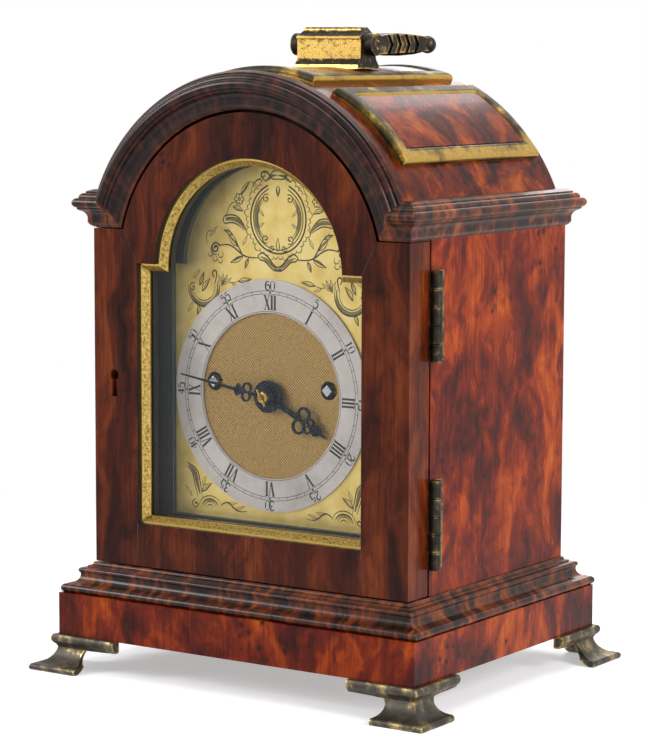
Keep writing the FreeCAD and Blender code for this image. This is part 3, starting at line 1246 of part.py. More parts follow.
def build_strike_train():
    """Pin wheel with lifting pins, fly, hammer, bell and bell stand."""
    x, z = PIN_WHEEL
    gap = facing_gap(PIN_WHEEL, STRIKE_FUSEE, PIN_PINION_LEAVES)
    pinion = gear(PIN_WHEEL, PIN_PINION_LEAVES, GREAT_MODULE, STRIKE_GREAT_Y - 1, STRIKE_GREAT_Y + WHEEL_THICKNESS + 1, gap, 0)
    wheel = gear(
        PIN_WHEEL, PIN_WHEEL_TEETH, THIRD_MODULE, PIN_WHEEL_Y, PIN_WHEEL_Y + WHEEL_THICKNESS, heading(PIN_WHEEL, FLY), 0, True, 4, 3.4
    )
    pins = []
    for index in range(LIFTING_PINS):
        spot = polar(x, z, PIN_WHEEL_TEETH * THIRD_MODULE / 2 - 2.2, 360 * (index + 0.5) / LIFTING_PINS)
        pins.append(rod(0.6, (spot.x, PIN_WHEEL_Y - 2.4, spot.z), (spot.x, PIN_WHEEL_Y + 0.5, spot.z)))
    SHAPES["pin_wheel"] = fuse(arbor(PIN_WHEEL, 1.1), pinion, wheel, *pins)

    gap = facing_gap(FLY, PIN_WHEEL, PINION_LEAVES)
    pinion = gear(FLY, PINION_LEAVES, THIRD_MODULE, PIN_WHEEL_Y - 1, PIN_WHEEL_Y + WHEEL_THICKNESS + 1, gap, 0)
    vane = box(FLY[0] - 7.0, FLY[0] + 7.0, ESCAPE_WHEEL_Y - 20.0, ESCAPE_WHEEL_Y - 6.0, FLY[1] - 0.4, FLY[1] + 0.4)
    SHAPES["fly"] = fuse(arbor(FLY, 0.8), pinion, vane)

    bell_y = (PLATE_INNER_Y + BACK_PLATE_Y) / 2
    crown = PLATE_HIGH + 34.0
    outside = [(BELL_RADIUS * across, -BELL_HEIGHT * down) for across, down in BELL_CURVE]
    inside = [(radius - BELL_WALL, max(level - BELL_WALL, -BELL_HEIGHT)) for radius, level in reversed(outside)]
    steps = outside + inside + [(BELL_BORE, -BELL_WALL)]
    SHAPES["bell"] = revolve((BELL_BORE, 0.0), steps, (0, bell_y, crown), (0, 0, 1))
    top_y = BACK_PLATE_Y + PLATE_THICKNESS
    arm_top = crown - BELL_HEIGHT - 2.4
    post = rod(2.0, (0, bell_y, arm_top), (0, bell_y, crown + 4.0))
    under = rod(3.4, (0, bell_y, arm_top), (0, bell_y, crown - BELL_WALL))
    nut = rod(3.6, (0, bell_y, crown), (0, bell_y, crown + 3.0))
    arm = box(-3.0, 3.0, bell_y - 3.4, top_y + 2.0, arm_top - 2.4, arm_top)
    leg = box(-3.0, 3.0, top_y, top_y + 2.0, ANCHOR[1] + 3.0, arm_top)
    SHAPES["bell_stand"] = fuse(post, under, arm, leg, nut)
    build_hammer(bell_y, crown)


def build_hammer(bell_y, crown):
    """Hammer on its own arbor, standing just off the bell's rim."""
    x = -46.0
    z = PLATE_HIGH - 7.0
    rim_z = crown - BELL_HEIGHT + 2.0
    head_x = -BELL_RADIUS - 4.4
    staff = arbor((x, z), 1.2)
    stem = rod(1.0, (x, bell_y, z), (head_x - 3.0, bell_y, rim_z))
    head = rod(3.2, (head_x - 6.0, bell_y, rim_z), (head_x + 3.4, bell_y, rim_z))
    SHAPES["hammer"] = fuse(staff, stem, head)


def build_movement_frame():
    """Two plates, five pillars and the seat board that carries them."""
    x_half = PLATE_WIDTH / 2
    front = box(-x_half, x_half, PLATE_FRONT_Y, PLATE_INNER_Y, PLATE_LOW, PLATE_HIGH)
    back = box(-x_half, x_half, BACK_PLATE_Y, BACK_PLATE_Y + PLATE_THICKNESS, PLATE_LOW, PLATE_HIGH)
    pivots = (
        (THIRD, 0.9 * 0.6),
        (ESCAPE, 0.8 * 0.6),
        (PIN_WHEEL, 1.1 * 0.6),
        (FLY, 0.8 * 0.6),
        ((-46.0, PLATE_HIGH - 7.0), 1.2 * 0.6),
        ((BARREL_X, BARREL_Z), 2.4 * 0.6),
        ((-BARREL_X, BARREL_Z), 2.4 * 0.6),
    )
    for centre, radius in pivots:
        hole = hole_y(radius + RUNNING_FIT, centre[0], centre[1])
        front = front.cut(hole)
        back = back.cut(hole)
    front = front.cut(hole_y(ARBOR_RADIUS + RUNNING_FIT, *CENTRE))
    front = front.cut(hole_y(MINUTE_ARBOR + RUNNING_FIT, *MINUTE_WHEEL))
    back = back.cut(hole_y(ARBOR_RADIUS * 0.6 + RUNNING_FIT, *CENTRE))
    front = front.cut(hole_y(0.7 + RUNNING_FIT, *ANCHOR))
    back = back.cut(hole_y(1.1 + RUNNING_FIT, *ANCHOR))
    for x in (-WINDING_X, WINDING_X):
        front = front.cut(hole_y(2.2 + RUNNING_FIT, x, WINDING_Z))
        back = back.cut(hole_y(1.4 + RUNNING_FIT, x, WINDING_Z))
    SHAPES["front_plate"] = front
    SHAPES["back_plate"] = back
    pillars = []
    for x, z in pillar_places():
        steps = (
            (PILLAR_RADIUS + 1.4, 0.0),
            (PILLAR_RADIUS + 1.4, 2.4),
            (PILLAR_RADIUS * 0.7, 3.6),
            (PILLAR_RADIUS * 0.7, PLATE_SPACING / 2 - 7.0),
            (PILLAR_RADIUS, PLATE_SPACING / 2),
            (PILLAR_RADIUS * 0.7, PLATE_SPACING / 2 + 7.0),
            (PILLAR_RADIUS * 0.7, PLATE_SPACING - 3.6),
            (PILLAR_RADIUS + 1.4, PLATE_SPACING - 2.4),
            (PILLAR_RADIUS + 1.4, PLATE_SPACING),
            (0.0, PLATE_SPACING),
        )
        pillars.append(revolve((0.0, 0.0), steps, (x, PLATE_INNER_Y, z)))
    SHAPES["pillars"] = Part.makeCompound(pillars)
    inside = HALF - WALL
    board = box(-inside, inside, PLATE_FRONT_Y - 1.0, BACK_PLATE_Y + PLATE_THICKNESS + 1.0, PLATE_LOW - 8.0, PLATE_LOW)
    SHAPES["seat_board"] = board


def pillar_places():
    """Centres of the five movement pillars."""
    x = PLATE_WIDTH / 2 - 6.0
    return ((x, PLATE_LOW + 7.0), (-x, PLATE_LOW + 7.0), (x, PLATE_HIGH - 7.0), (-x, PLATE_HIGH - 7.0), (0.0, PLATE_LOW + 12.0))


# ---- Whole clock ------------------------------------------------------------------------------
def main():
    """Build every piece and write one file for each."""
    build_plinth()
    build_mouldings()
    build_door()
    build_carcass()
    build_feet()
    build_door_hinges()
    build_rear_door()
    build_rear_hinges()
    build_roof_panels()
    build_handle()
    build_dial()
    build_hands()
    build_going_train()
    build_power()
    build_motion_work()
    build_pendulum()
    build_strike_train()
    build_movement_frame()
    os.makedirs("parts", exist_ok=True)
    for name, shape in SHAPES.items():
        shape.exportStep(f"parts/{name}.step")
        print(name, len(shape.Solids), shape.isValid(), round(shape.Volume, 1))


main()
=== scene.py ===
"""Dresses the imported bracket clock: finishes, engraved dial, fittings, studio and camera."""

import logging
import math
from dataclasses import dataclass
from enum import Enum
from typing import Any, Iterable, Protocol, Sequence

import bmesh
import bpy
from mathutils import Matrix, Vector


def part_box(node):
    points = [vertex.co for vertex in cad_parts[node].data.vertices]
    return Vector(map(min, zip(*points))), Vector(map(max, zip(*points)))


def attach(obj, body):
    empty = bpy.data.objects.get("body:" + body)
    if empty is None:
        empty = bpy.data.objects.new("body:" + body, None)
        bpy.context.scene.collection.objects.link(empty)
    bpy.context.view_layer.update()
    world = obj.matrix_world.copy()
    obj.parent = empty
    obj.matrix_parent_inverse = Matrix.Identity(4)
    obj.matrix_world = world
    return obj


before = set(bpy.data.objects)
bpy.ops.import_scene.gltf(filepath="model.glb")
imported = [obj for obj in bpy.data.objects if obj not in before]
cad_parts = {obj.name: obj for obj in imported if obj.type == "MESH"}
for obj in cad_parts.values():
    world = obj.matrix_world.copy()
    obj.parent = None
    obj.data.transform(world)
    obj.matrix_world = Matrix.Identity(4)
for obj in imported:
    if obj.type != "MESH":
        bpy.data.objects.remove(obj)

LOG = logging.getLogger("bracket_clock")
MM = 0.001
PER_METRE = 1000.0

Point = tuple[float, float]


# ---------------------------------------------------------------- colour and node helpers


def linear(hex_code: str) -> tuple[float, float, float, float]:
    """Turns an sRGB hex colour into linear RGBA.

    Args:
        hex_code: a colour such as "#B4500F".

    Returns:
        The linear red, green, blue and an alpha of 1.
    """
    channels = [int(hex_code[start : start + 2], 16) / 255 for start in (1, 3, 5)]
    red, green, blue = (c / 12.92 if c <= 0.04045 else ((c + 0.055) / 1.055) ** 2.4 for c in channels)
    return red, green, blue, 1.0


def add_node(
    tree: bpy.types.NodeTree, kind: str, settings: dict | None = None, links: dict | None = None
) -> bpy.types.Node:
    """Adds a node with its settings and its incoming links.

    Args:
        tree: the node tree that gets the node.
        kind: the node's type name.
        settings: attribute or input values by name, an input's number, or "stops" for a ramp.
        links: source sockets by the name or number of the input that they feed.

    Returns:
        The new node.
    """
    node = tree.nodes.new(kind)
    for key, value in (settings or {}).items():
        if key == "stops":
            elements = node.color_ramp.elements
            while len(elements) < len(value):
                elements.new(0.5)
            for element, (position, colour) in zip(elements, value):
                element.position = position
                element.color = linear(colour)
        elif isinstance(key, str) and hasattr(node, key):
            setattr(node, key, value)
        else:
            node.inputs[key].default_value = value
    for key, source in (links or {}).items():
        tree.links.new(source, node.inputs[key])
    return node


@dataclass(frozen=True)
class Canvas:
    """A new material: its tree, its shader and its place on the object in millimetres."""

    material: bpy.types.Material
    tree: bpy.types.NodeTree
    shader: bpy.types.Node
    place: bpy.types.NodeSocket


def new_canvas(name: str, shine: dict[str, Any]) -> Canvas:
    """Starts a material with a principled shader.

    Args:
        name: the material's name.
        shine: constant values for the shader's own sockets.

    Returns:
        The canvas that a finish draws on.
    """
    material = bpy.data.materials.new(name)
    material.use_nodes = True
    tree = material.node_tree
    tree.nodes.clear()
    shader = add_node(tree, "ShaderNodeBsdfPrincipled", shine)
    add_node(tree, "ShaderNodeOutputMaterial", links={"Surface": shader.outputs[0]})
    where = add_node(tree, "ShaderNodeTexCoord")
    mapping = add_node(
        tree, "ShaderNodeMapping", {"Scale": (PER_METRE,) * 3}, {"Vector": where.outputs["Object"]}
    )
    return Canvas(material, tree, shader, mapping.outputs[0])


def edge_wear(canvas: Canvas, reach_mm: float, inside: bool) -> bpy.types.NodeSocket:
    """Marks worn ridges or grimy hollows by how much of the sky a point sees.

    Args:
        canvas: the material being made.
        reach_mm: how far from an edge the mark reaches.
        inside: True marks ridges, False marks hollows.

    Returns:
        A value from 0 on flat ground to about 1 on the ridge or in the hollow.
    """
    seen = add_node(
        canvas.tree,
        "ShaderNodeAmbientOcclusion",
        {"samples": 8, "inside": inside, "only_local": True, "Distance": reach_mm * MM},
    )
    flipped = add_node(
        canvas.tree, "ShaderNodeMath", {"operation": "SUBTRACT", 0: 1.0}, {1: seen.outputs["AO"]}
    )
    return flipped.outputs[0]


# ---------------------------------------------------------------- finishes


class Finish(Protocol):
    """What every finish has: a name and a way to draw its material."""

    name: str

    def make(self) -> bpy.types.Material:
        """Draws the material."""


@dataclass(frozen=True)
class BurrVeneer:
    """Burr veneer, french polished: flame patches, fine fibres and clusters of dark pin knots.

    The fibres and the knots are drawn coarser than the real ones, so that they show.
    """

    name: str
    stops: tuple[tuple[float, str], ...]
    knot: str = "#240B08"
    figure_mm: float = 27.0
    fibre_mm: float = 1.2
    knot_mm: float = 5.6
    knot_cover: float = 0.56
    lean_deg: float = 12.0
    curl_mm: float = 6.5
    curl_gain: float = 0.24
    stretch: float = 0.5
    painted_side_light: float = 0.0
    coat: float = 0.07
    sway_rate: float = 0.55
    sway_reach: float = 1.2
    knot_patch_mm: float = 38.0
    knot_skip: float = 0.35
    ragged_mm: float = 2.6
    ragged_reach_mm: float = 1.6

    def make(self) -> bpy.types.Material:
        """Draws the material.

        Returns:
            The material, ready for a piece.
        """
        canvas = new_canvas(
            self.name,
            {"IOR": 1.5, "Specular IOR Level": 0.1, "Coat Weight": self.coat, "Coat Roughness": 0.05},
        )
        tree = canvas.tree
        sway = add_node(
            tree,
            "ShaderNodeTexNoise",
            {"Scale": self.sway_rate / self.figure_mm, "Detail": 3.0},
            {"Vector": canvas.place},
        )
        centred = add_node(
            tree, "ShaderNodeVectorMath", {"operation": "SUBTRACT", 1: (0.5,) * 3}, {0: sway.outputs["Color"]}
        )
        bent = add_node(
            tree,
            "ShaderNodeVectorMath",
            {"operation": "MULTIPLY_ADD", 1: (self.figure_mm * self.sway_reach,) * 3},
            {0: centred.outputs[0], 2: canvas.place},
        )
        lean = (math.radians(self.lean_deg), math.radians(self.lean_deg), 0.0)
        tall = add_node(
            tree,
            "ShaderNodeMapping",
            {"Rotation": lean, "Scale": (1.0, 1.0, self.stretch)},
            {"Vector": bent.outputs[0]},
        )
        figure = add_node(
            tree,
            "ShaderNodeTexNoise",
            {"Scale": 1 / self.figure_mm, "Detail": 5.0, "Roughness": 0.58, "Distortion": 0.6},
            {"Vector": tall.outputs[0]},
        )
        curl = add_node(
            tree,
            "ShaderNodeTexNoise",
            {"Scale": 1 / self.curl_mm, "Detail": 3.0, "Roughness": 0.5, "Distortion": 0.9},
            {"Vector": tall.outputs[0]},
        )
        shift = add_node(
            tree,
            "ShaderNodeMath",
            {"operation": "MULTIPLY_ADD", 1: self.curl_gain, 2: -self.curl_gain / 2},
            {0: curl.outputs["Fac"]},
        )
        curled = add_node(
            tree, "ShaderNodeMath", {"operation": "ADD"}, {0: figure.outputs["Fac"], 1: shift.outputs[0]}
        )
        # Painted light: faces turned sideways shift to lighter tones, as if lit from the side.
        turned = add_node(tree, "ShaderNodeTexCoord")
        facing = add_node(tree, "ShaderNodeSeparateXYZ", links={"Vector": turned.outputs["Normal"]})
        sideways = add_node(tree, "ShaderNodeMath", {"operation": "ABSOLUTE"}, {0: facing.outputs["X"]})
        level = add_node(
            tree,
            "ShaderNodeMath",
            {"operation": "MULTIPLY_ADD", 1: self.painted_side_light},
            {0: sideways.outputs[0], 2: curled.outputs[0]},
        )
        tone = add_node(tree, "ShaderNodeValToRGB", {"stops": self.stops}, {"Fac": level.outputs[0]})
        long_fibres = add_node(
            tree, "ShaderNodeMapping", {"Rotation": lean, "Scale": (1.0, 1.0, 0.04)}, {"Vector": canvas.place}
        )
        fibres = add_node(
            tree,
            "ShaderNodeTexNoise",
            {"Scale": 1 / self.fibre_mm, "Detail": 3.0, "Roughness": 0.6},
            {"Vector": long_fibres.outputs[0]},
        )
        fibre_tone = add_node(
            tree,
            "ShaderNodeValToRGB",
            {"stops": ((0.30, "#8E8E8E"), (0.5, "#DCDCDC"), (0.72, "#FFFFFF"))},
            {"Fac": fibres.outputs["Fac"]},
        )
        grained = add_node(
            tree,
            "ShaderNodeMixRGB",
            {"blend_type": "MULTIPLY", "Fac": 0.75},
            {"Color1": tone.outputs[0], "Color2": fibre_tone.outputs[0]},
        )
        coloured = add_node(
            tree,
            "ShaderNodeMixRGB",
            {"Color2": linear(self.knot)},
            {"Fac": self.knots(canvas), "Color1": grained.outputs[0]},
        )
        tree.links.new(coloured.outputs[0], canvas.shader.inputs["Base Color"])
        dulled = add_node(
            tree,
            "ShaderNodeMapRange",
            {"To Min": 0.2, "To Max": 0.34},
            {"Value": figure.outputs["Fac"]},
        )
        tree.links.new(dulled.outputs[0], canvas.shader.inputs["Roughness"])
        pores = add_node(
            tree, "ShaderNodeBump", {"Strength": 0.12, "Distance": 0.0002}, {"Height": fibres.outputs["Fac"]}
        )
        tree.links.new(pores.outputs[0], canvas.shader.inputs["Normal"])
        return canvas.material

    def knots(self, canvas: Canvas) -> bpy.types.NodeSocket:
        """Draws the pin knots.

        Args:
            canvas: the material being made.

        Returns:
            A mask that is 1 in a knot.
        """
        tree = canvas.tree
        patch = add_node(
            tree,
            "ShaderNodeTexNoise",
            {"Scale": 1 / self.knot_patch_mm, "Detail": 1.0},
            {"Vector": canvas.place},
        )
        cover = add_node(
            tree,
            "ShaderNodeMapRange",
            {"From Min": self.knot_cover, "From Max": self.knot_cover + 0.06},
            {"Value": patch.outputs["Fac"]},
        )
        ragged = add_node(
            tree, "ShaderNodeTexNoise", {"Scale": 1 / self.ragged_mm, "Detail": 2.0}, {"Vector": canvas.place}
        )
        wobbled = add_node(
            tree,
            "ShaderNodeVectorMath",
            {"operation": "MULTIPLY_ADD", 1: (self.ragged_reach_mm,) * 3},
            {0: ragged.outputs["Color"], 2: canvas.place},
        )
        cells = add_node(
            tree,
            "ShaderNodeTexVoronoi",
            {"Scale": 1 / self.knot_mm, "Randomness": 1.0},
            {"Vector": wobbled.outputs[0]},
        )
        core = add_node(
            tree,
            "ShaderNodeMapRange",
            {"From Min": 0.12, "From Max": 0.42, "To Min": 1.0, "To Max": 0.0},
            {"Value": cells.outputs["Distance"]},
        )
        chosen = add_node(
            tree, "ShaderNodeSeparateColor", links={"Color": cells.outputs["Color"]}
        )
        kept = add_node(
            tree, "ShaderNodeMath", {"operation": "GREATER_THAN", 1: self.knot_skip}, {0: chosen.outputs[0]}
        )
        some = add_node(
            tree, "ShaderNodeMath", {"operation": "MULTIPLY"}, {0: core.outputs[0], 1: kept.outputs[0]}
        )
        shown = add_node(
            tree, "ShaderNodeMath", {"operation": "MULTIPLY"}, {0: some.outputs[0], 1: cover.outputs[0]}
        )
        return shown.outputs[0]


class Run(Enum):
    """The way that a moulding's length runs, which sets where its joints fall."""

    STRAIGHT = "straight"
    ARCHED = "arched"


@dataclass(frozen=True)
class StainedMoulding:
    """Cross-grained moulding, stained near black and waxed: red-brown wear on its ridges and open joints."""

    name: str
    run: Run
    joint_mm: float = 36.0
    joint_width_mm: float = 0.5
    arch_z_mm: float = 219.9
    body: tuple[tuple[float, str], ...] = (
        (0.32, "#0C0605"), (0.48, "#1C0C09"), (0.6, "#3A1A12"), (0.74, "#5C2A1B")
    )
    ridge: str = "#8A4A33"
    gap: str = "#050303"
    grain_mm: float = 4.5
    grain_drift: float = 0.5
    grain_squash: float = 0.3
    wear_mm: float = 1.6
    arch_run_mm: float = 95.0

    def make(self) -> bpy.types.Material:
        """Draws the material.

        Returns:
            The material, ready for a piece.
        """
        canvas = new_canvas(
            self.name,
            {"IOR": 1.5, "Specular IOR Level": 0.16, "Coat Weight": 0.12, "Coat Roughness": 0.08},
        )
        tree = canvas.tree
        along = self.along(canvas)
        slowed = add_node(tree, "ShaderNodeMath", {"operation": "MULTIPLY", 1: self.grain_drift}, {0: along})
        across_grain = add_node(
            tree, "ShaderNodeCombineXYZ", {}, {"X": slowed.outputs[0]}
        )
        stretched = add_node(
            tree,
            "ShaderNodeVectorMath",
            {"operation": "MULTIPLY_ADD", 1: (self.grain_squash,) * 3},
            {0: canvas.place, 2: across_grain.outputs[0]},
        )
        grain = add_node(
            tree,
            "ShaderNodeTexNoise",
            {"Scale": 1 / self.grain_mm, "Detail": 5.0, "Roughness": 0.62, "Distortion": 0.3},
            {"Vector": stretched.outputs[0]},
        )
        tone = add_node(tree, "ShaderNodeValToRGB", {"stops": self.body}, {"Fac": grain.outputs["Fac"]})
        ridge = add_node(
            tree,
            "ShaderNodeMath",
            {"operation": "MULTIPLY"},
            {0: edge_wear(canvas, self.wear_mm, True), 1: grain.outputs["Fac"]},
        )
        rubbed = add_node(
            tree,
            "ShaderNodeMixRGB",
            {"Color2": linear(self.ridge)},
            {"Fac": ridge.outputs[0], "Color1": tone.outputs[0]},
        )
        joint = self.joints(canvas, along)
        jointed = add_node(
            tree,
            "ShaderNodeMixRGB",
            {"Color2": linear(self.gap)},
            {"Fac": joint, "Color1": rubbed.outputs[0]},
        )
        tree.links.new(jointed.outputs[0], canvas.shader.inputs["Base Color"])
        dulled = add_node(
            tree, "ShaderNodeMapRange", {"To Min": 0.2, "To Max": 0.4}, {"Value": grain.outputs["Fac"]}
        )
        tree.links.new(dulled.outputs[0], canvas.shader.inputs["Roughness"])
        height = add_node(
            tree, "ShaderNodeMath", {"operation": "SUBTRACT"}, {0: grain.outputs["Fac"], 1: joint}
        )
        relief = add_node(
            tree, "ShaderNodeBump", {"Strength": 0.25, "Distance": 0.0003}, {"Height": height.outputs[0]}
        )
        tree.links.new(relief.outputs[0], canvas.shader.inputs["Normal"])
        return canvas.material

    def along(self, canvas: Canvas) -> bpy.types.NodeSocket:
        """Measures the way along the moulding.

        Args:
            canvas: the material being made.

        Returns:
            The distance along the run in millimetres.
        """
        tree = canvas.tree
        place = add_node(tree, "ShaderNodeSeparateXYZ", links={"Vector": canvas.place})
        if self.run is Run.ARCHED:
            rise = add_node(
                tree, "ShaderNodeMath", {"operation": "SUBTRACT", 1: self.arch_z_mm}, {0: place.outputs["Z"]}
            )
            angle = add_node(
                tree, "ShaderNodeMath", {"operation": "ARCTAN2"}, {0: place.outputs["X"], 1: rise.outputs[0]}
            )
            length = add_node(
                tree, "ShaderNodeMath", {"operation": "MULTIPLY", 1: self.arch_run_mm}, {0: angle.outputs[0]}
            )
            return length.outputs[0]
        geometry = add_node(tree, "ShaderNodeNewGeometry")
        facing = add_node(tree, "ShaderNodeSeparateXYZ", links={"Vector": geometry.outputs["True Normal"]})
        sideways = add_node(tree, "ShaderNodeMath", {"operation": "ABSOLUTE"}, {0: facing.outputs["X"]})
        forwards = add_node(tree, "ShaderNodeMath", {"operation": "ABSOLUTE"}, {0: facing.outputs["Y"]})
        on_side = add_node(
            tree,
            "ShaderNodeMath",
            {"operation": "GREATER_THAN"},
            {0: sideways.outputs[0], 1: forwards.outputs[0]},
        )
        length = add_node(
            tree,
            "ShaderNodeMix",
            {"data_type": "FLOAT"},
            {0: on_side.outputs[0], 2: place.outputs["X"], 3: place.outputs["Y"]},
        )
        return length.outputs[0]

    def joints(self, canvas: Canvas, along: bpy.types.NodeSocket) -> bpy.types.NodeSocket:
        """Draws the open joints between the short lengths of the moulding.

        Args:
            canvas: the material being made.
            along: the distance along the run in millimetres.

        Returns:
            A mask that is 1 in a joint.
        """
        tree = canvas.tree
        pieces = add_node(
            tree,
            "ShaderNodeTexVoronoi",
            {
                "voronoi_dimensions": "1D",
                "feature": "DISTANCE_TO_EDGE",
                "Scale": 1 / self.joint_mm,
                "Randomness": 0.6,
            },
            {"W": along},
        )
        half = self.joint_width_mm / self.joint_mm / 2
        line = add_node(
            tree,
            "ShaderNodeMapRange",
            {"From Min": half, "From Max": half * 1.6, "To Min": 1.0, "To Max": 0.0},
            {"Value": pieces.outputs["Distance"]},
        )
        return line.outputs[0]


@dataclass(frozen=True)
class AgedBrass:
    """Cast brass with an old dark skin: bare metal shows where hands and dusters rub it, and as a painted
    highlight on faces turned along one axis.
    """

    name: str
    skin: tuple[tuple[float, str], ...]
    bare: tuple[tuple[float, str], ...]
    wear_and_highlight_share: float
    ridge_mm: float = 1.4
    ridge_gain: float = 0.4
    painted_highlight_axis: str = "Y"
    painted_highlight_from: float = 0.8
    painted_highlight_gain: float = 0.0
    patch_mm: float = 9.0
    bare_roughness: float = 0.3
    skin_roughness: float = 0.48
    speck_mm: float = 0.8
    speck_gain: float = 0.16
    hollow_loss: float = 0.55

    def make(self) -> bpy.types.Material:
        """Draws the material.

        Returns:
            The material, ready for a piece.
        """
        canvas = new_canvas(self.name, {})
        tree = canvas.tree
        cloud = add_node(
            tree,
            "ShaderNodeTexNoise",
            {"Scale": 1 / self.patch_mm, "Detail": 6.0, "Roughness": 0.66},
            {"Vector": canvas.place},
        )
        speck = add_node(
            tree,
            "ShaderNodeTexNoise",
            {"Scale": 1 / self.speck_mm, "Detail": 3.0, "Roughness": 0.7},
            {"Vector": canvas.place},
        )
        ridge = edge_wear(canvas, self.ridge_mm, True)
        hollow = edge_wear(canvas, self.ridge_mm * 1.6, False)
        broken = add_node(
            tree, "ShaderNodeMath", {"operation": "MULTIPLY"}, {0: ridge, 1: cloud.outputs["Fac"]}
        )
        edged = add_node(
            tree,
            "ShaderNodeMath",
            {"operation": "MULTIPLY_ADD", 1: 2.0 * self.ridge_gain},
            {0: broken.outputs[0], 2: cloud.outputs["Fac"]},
        )
        # Painted highlight: faces turned along one axis are lifted towards bare bright metal, as if they caught
        # the light.
        turned = add_node(tree, "ShaderNodeTexCoord")
        facing = add_node(tree, "ShaderNodeSeparateXYZ", links={"Vector": turned.outputs["Normal"]})
        sideways = add_node(
            tree, "ShaderNodeMath", {"operation": "ABSOLUTE"}, {0: facing.outputs[self.painted_highlight_axis]}
        )
        painted_highlight_mask = add_node(
            tree,
            "ShaderNodeMapRange",
            {
                "From Min": self.painted_highlight_from,
                "From Max": self.painted_highlight_from + 0.16,
                "To Min": 0.0,
                "To Max": self.painted_highlight_gain,
            },
            {"Value": sideways.outputs[0]},
        )
        lifted = add_node(
            tree, "ShaderNodeMath", {"operation": "ADD"}, {0: edged.outputs[0], 1: painted_highlight_mask.outputs[0]}
        )
        lowered = add_node(
            tree,
            "ShaderNodeMath",
            {"operation": "MULTIPLY_ADD", 1: -self.hollow_loss},
            {0: hollow, 2: lifted.outputs[0]},
        )
        grainy = add_node(
            tree,
            "ShaderNodeMath",
            {"operation": "MULTIPLY_ADD", 1: self.speck_gain},
            {0: speck.outputs["Fac"], 2: lowered.outputs[0]},
        )
        level = 0.98 - 0.6 * self.wear_and_highlight_share
        # The bare-metal mask: real wear on the ridges plus the painted highlight on the turned faces.
        rubbed = add_node(
            tree,
            "ShaderNodeMapRange",
            {"From Min": level - 0.12, "From Max": level + 0.12},
            {"Value": grainy.outputs[0]},
        )
        skin = add_node(tree, "ShaderNodeValToRGB", {"stops": self.skin}, {"Fac": cloud.outputs["Fac"]})
        bare = add_node(tree, "ShaderNodeValToRGB", {"stops": self.bare}, {"Fac": speck.outputs["Fac"]})
        colour = add_node(
            tree,
            "ShaderNodeMixRGB",
            {},
            {"Fac": rubbed.outputs[0], "Color1": skin.outputs[0], "Color2": bare.outputs[0]},
        )
        tree.links.new(colour.outputs[0], canvas.shader.inputs["Base Color"])
        metal = add_node(
            tree, "ShaderNodeMapRange", {"To Min": 0.72, "To Max": 1.0}, {"Value": rubbed.outputs[0]}
        )
        tree.links.new(metal.outputs[0], canvas.shader.inputs["Metallic"])
        rough = add_node(
            tree,
            "ShaderNodeMapRange",
            {"To Min": self.skin_roughness, "To Max": self.bare_roughness},
            {"Value": rubbed.outputs[0]},
        )
        tree.links.new(rough.outputs[0], canvas.shader.inputs["Roughness"])
        relief = add_node(
            tree, "ShaderNodeBump", {"Strength": 0.3, "Distance": 0.0002}, {"Height": speck.outputs["Fac"]}
        )
        tree.links.new(relief.outputs[0], canvas.shader.inputs["Normal"])
        return canvas.material


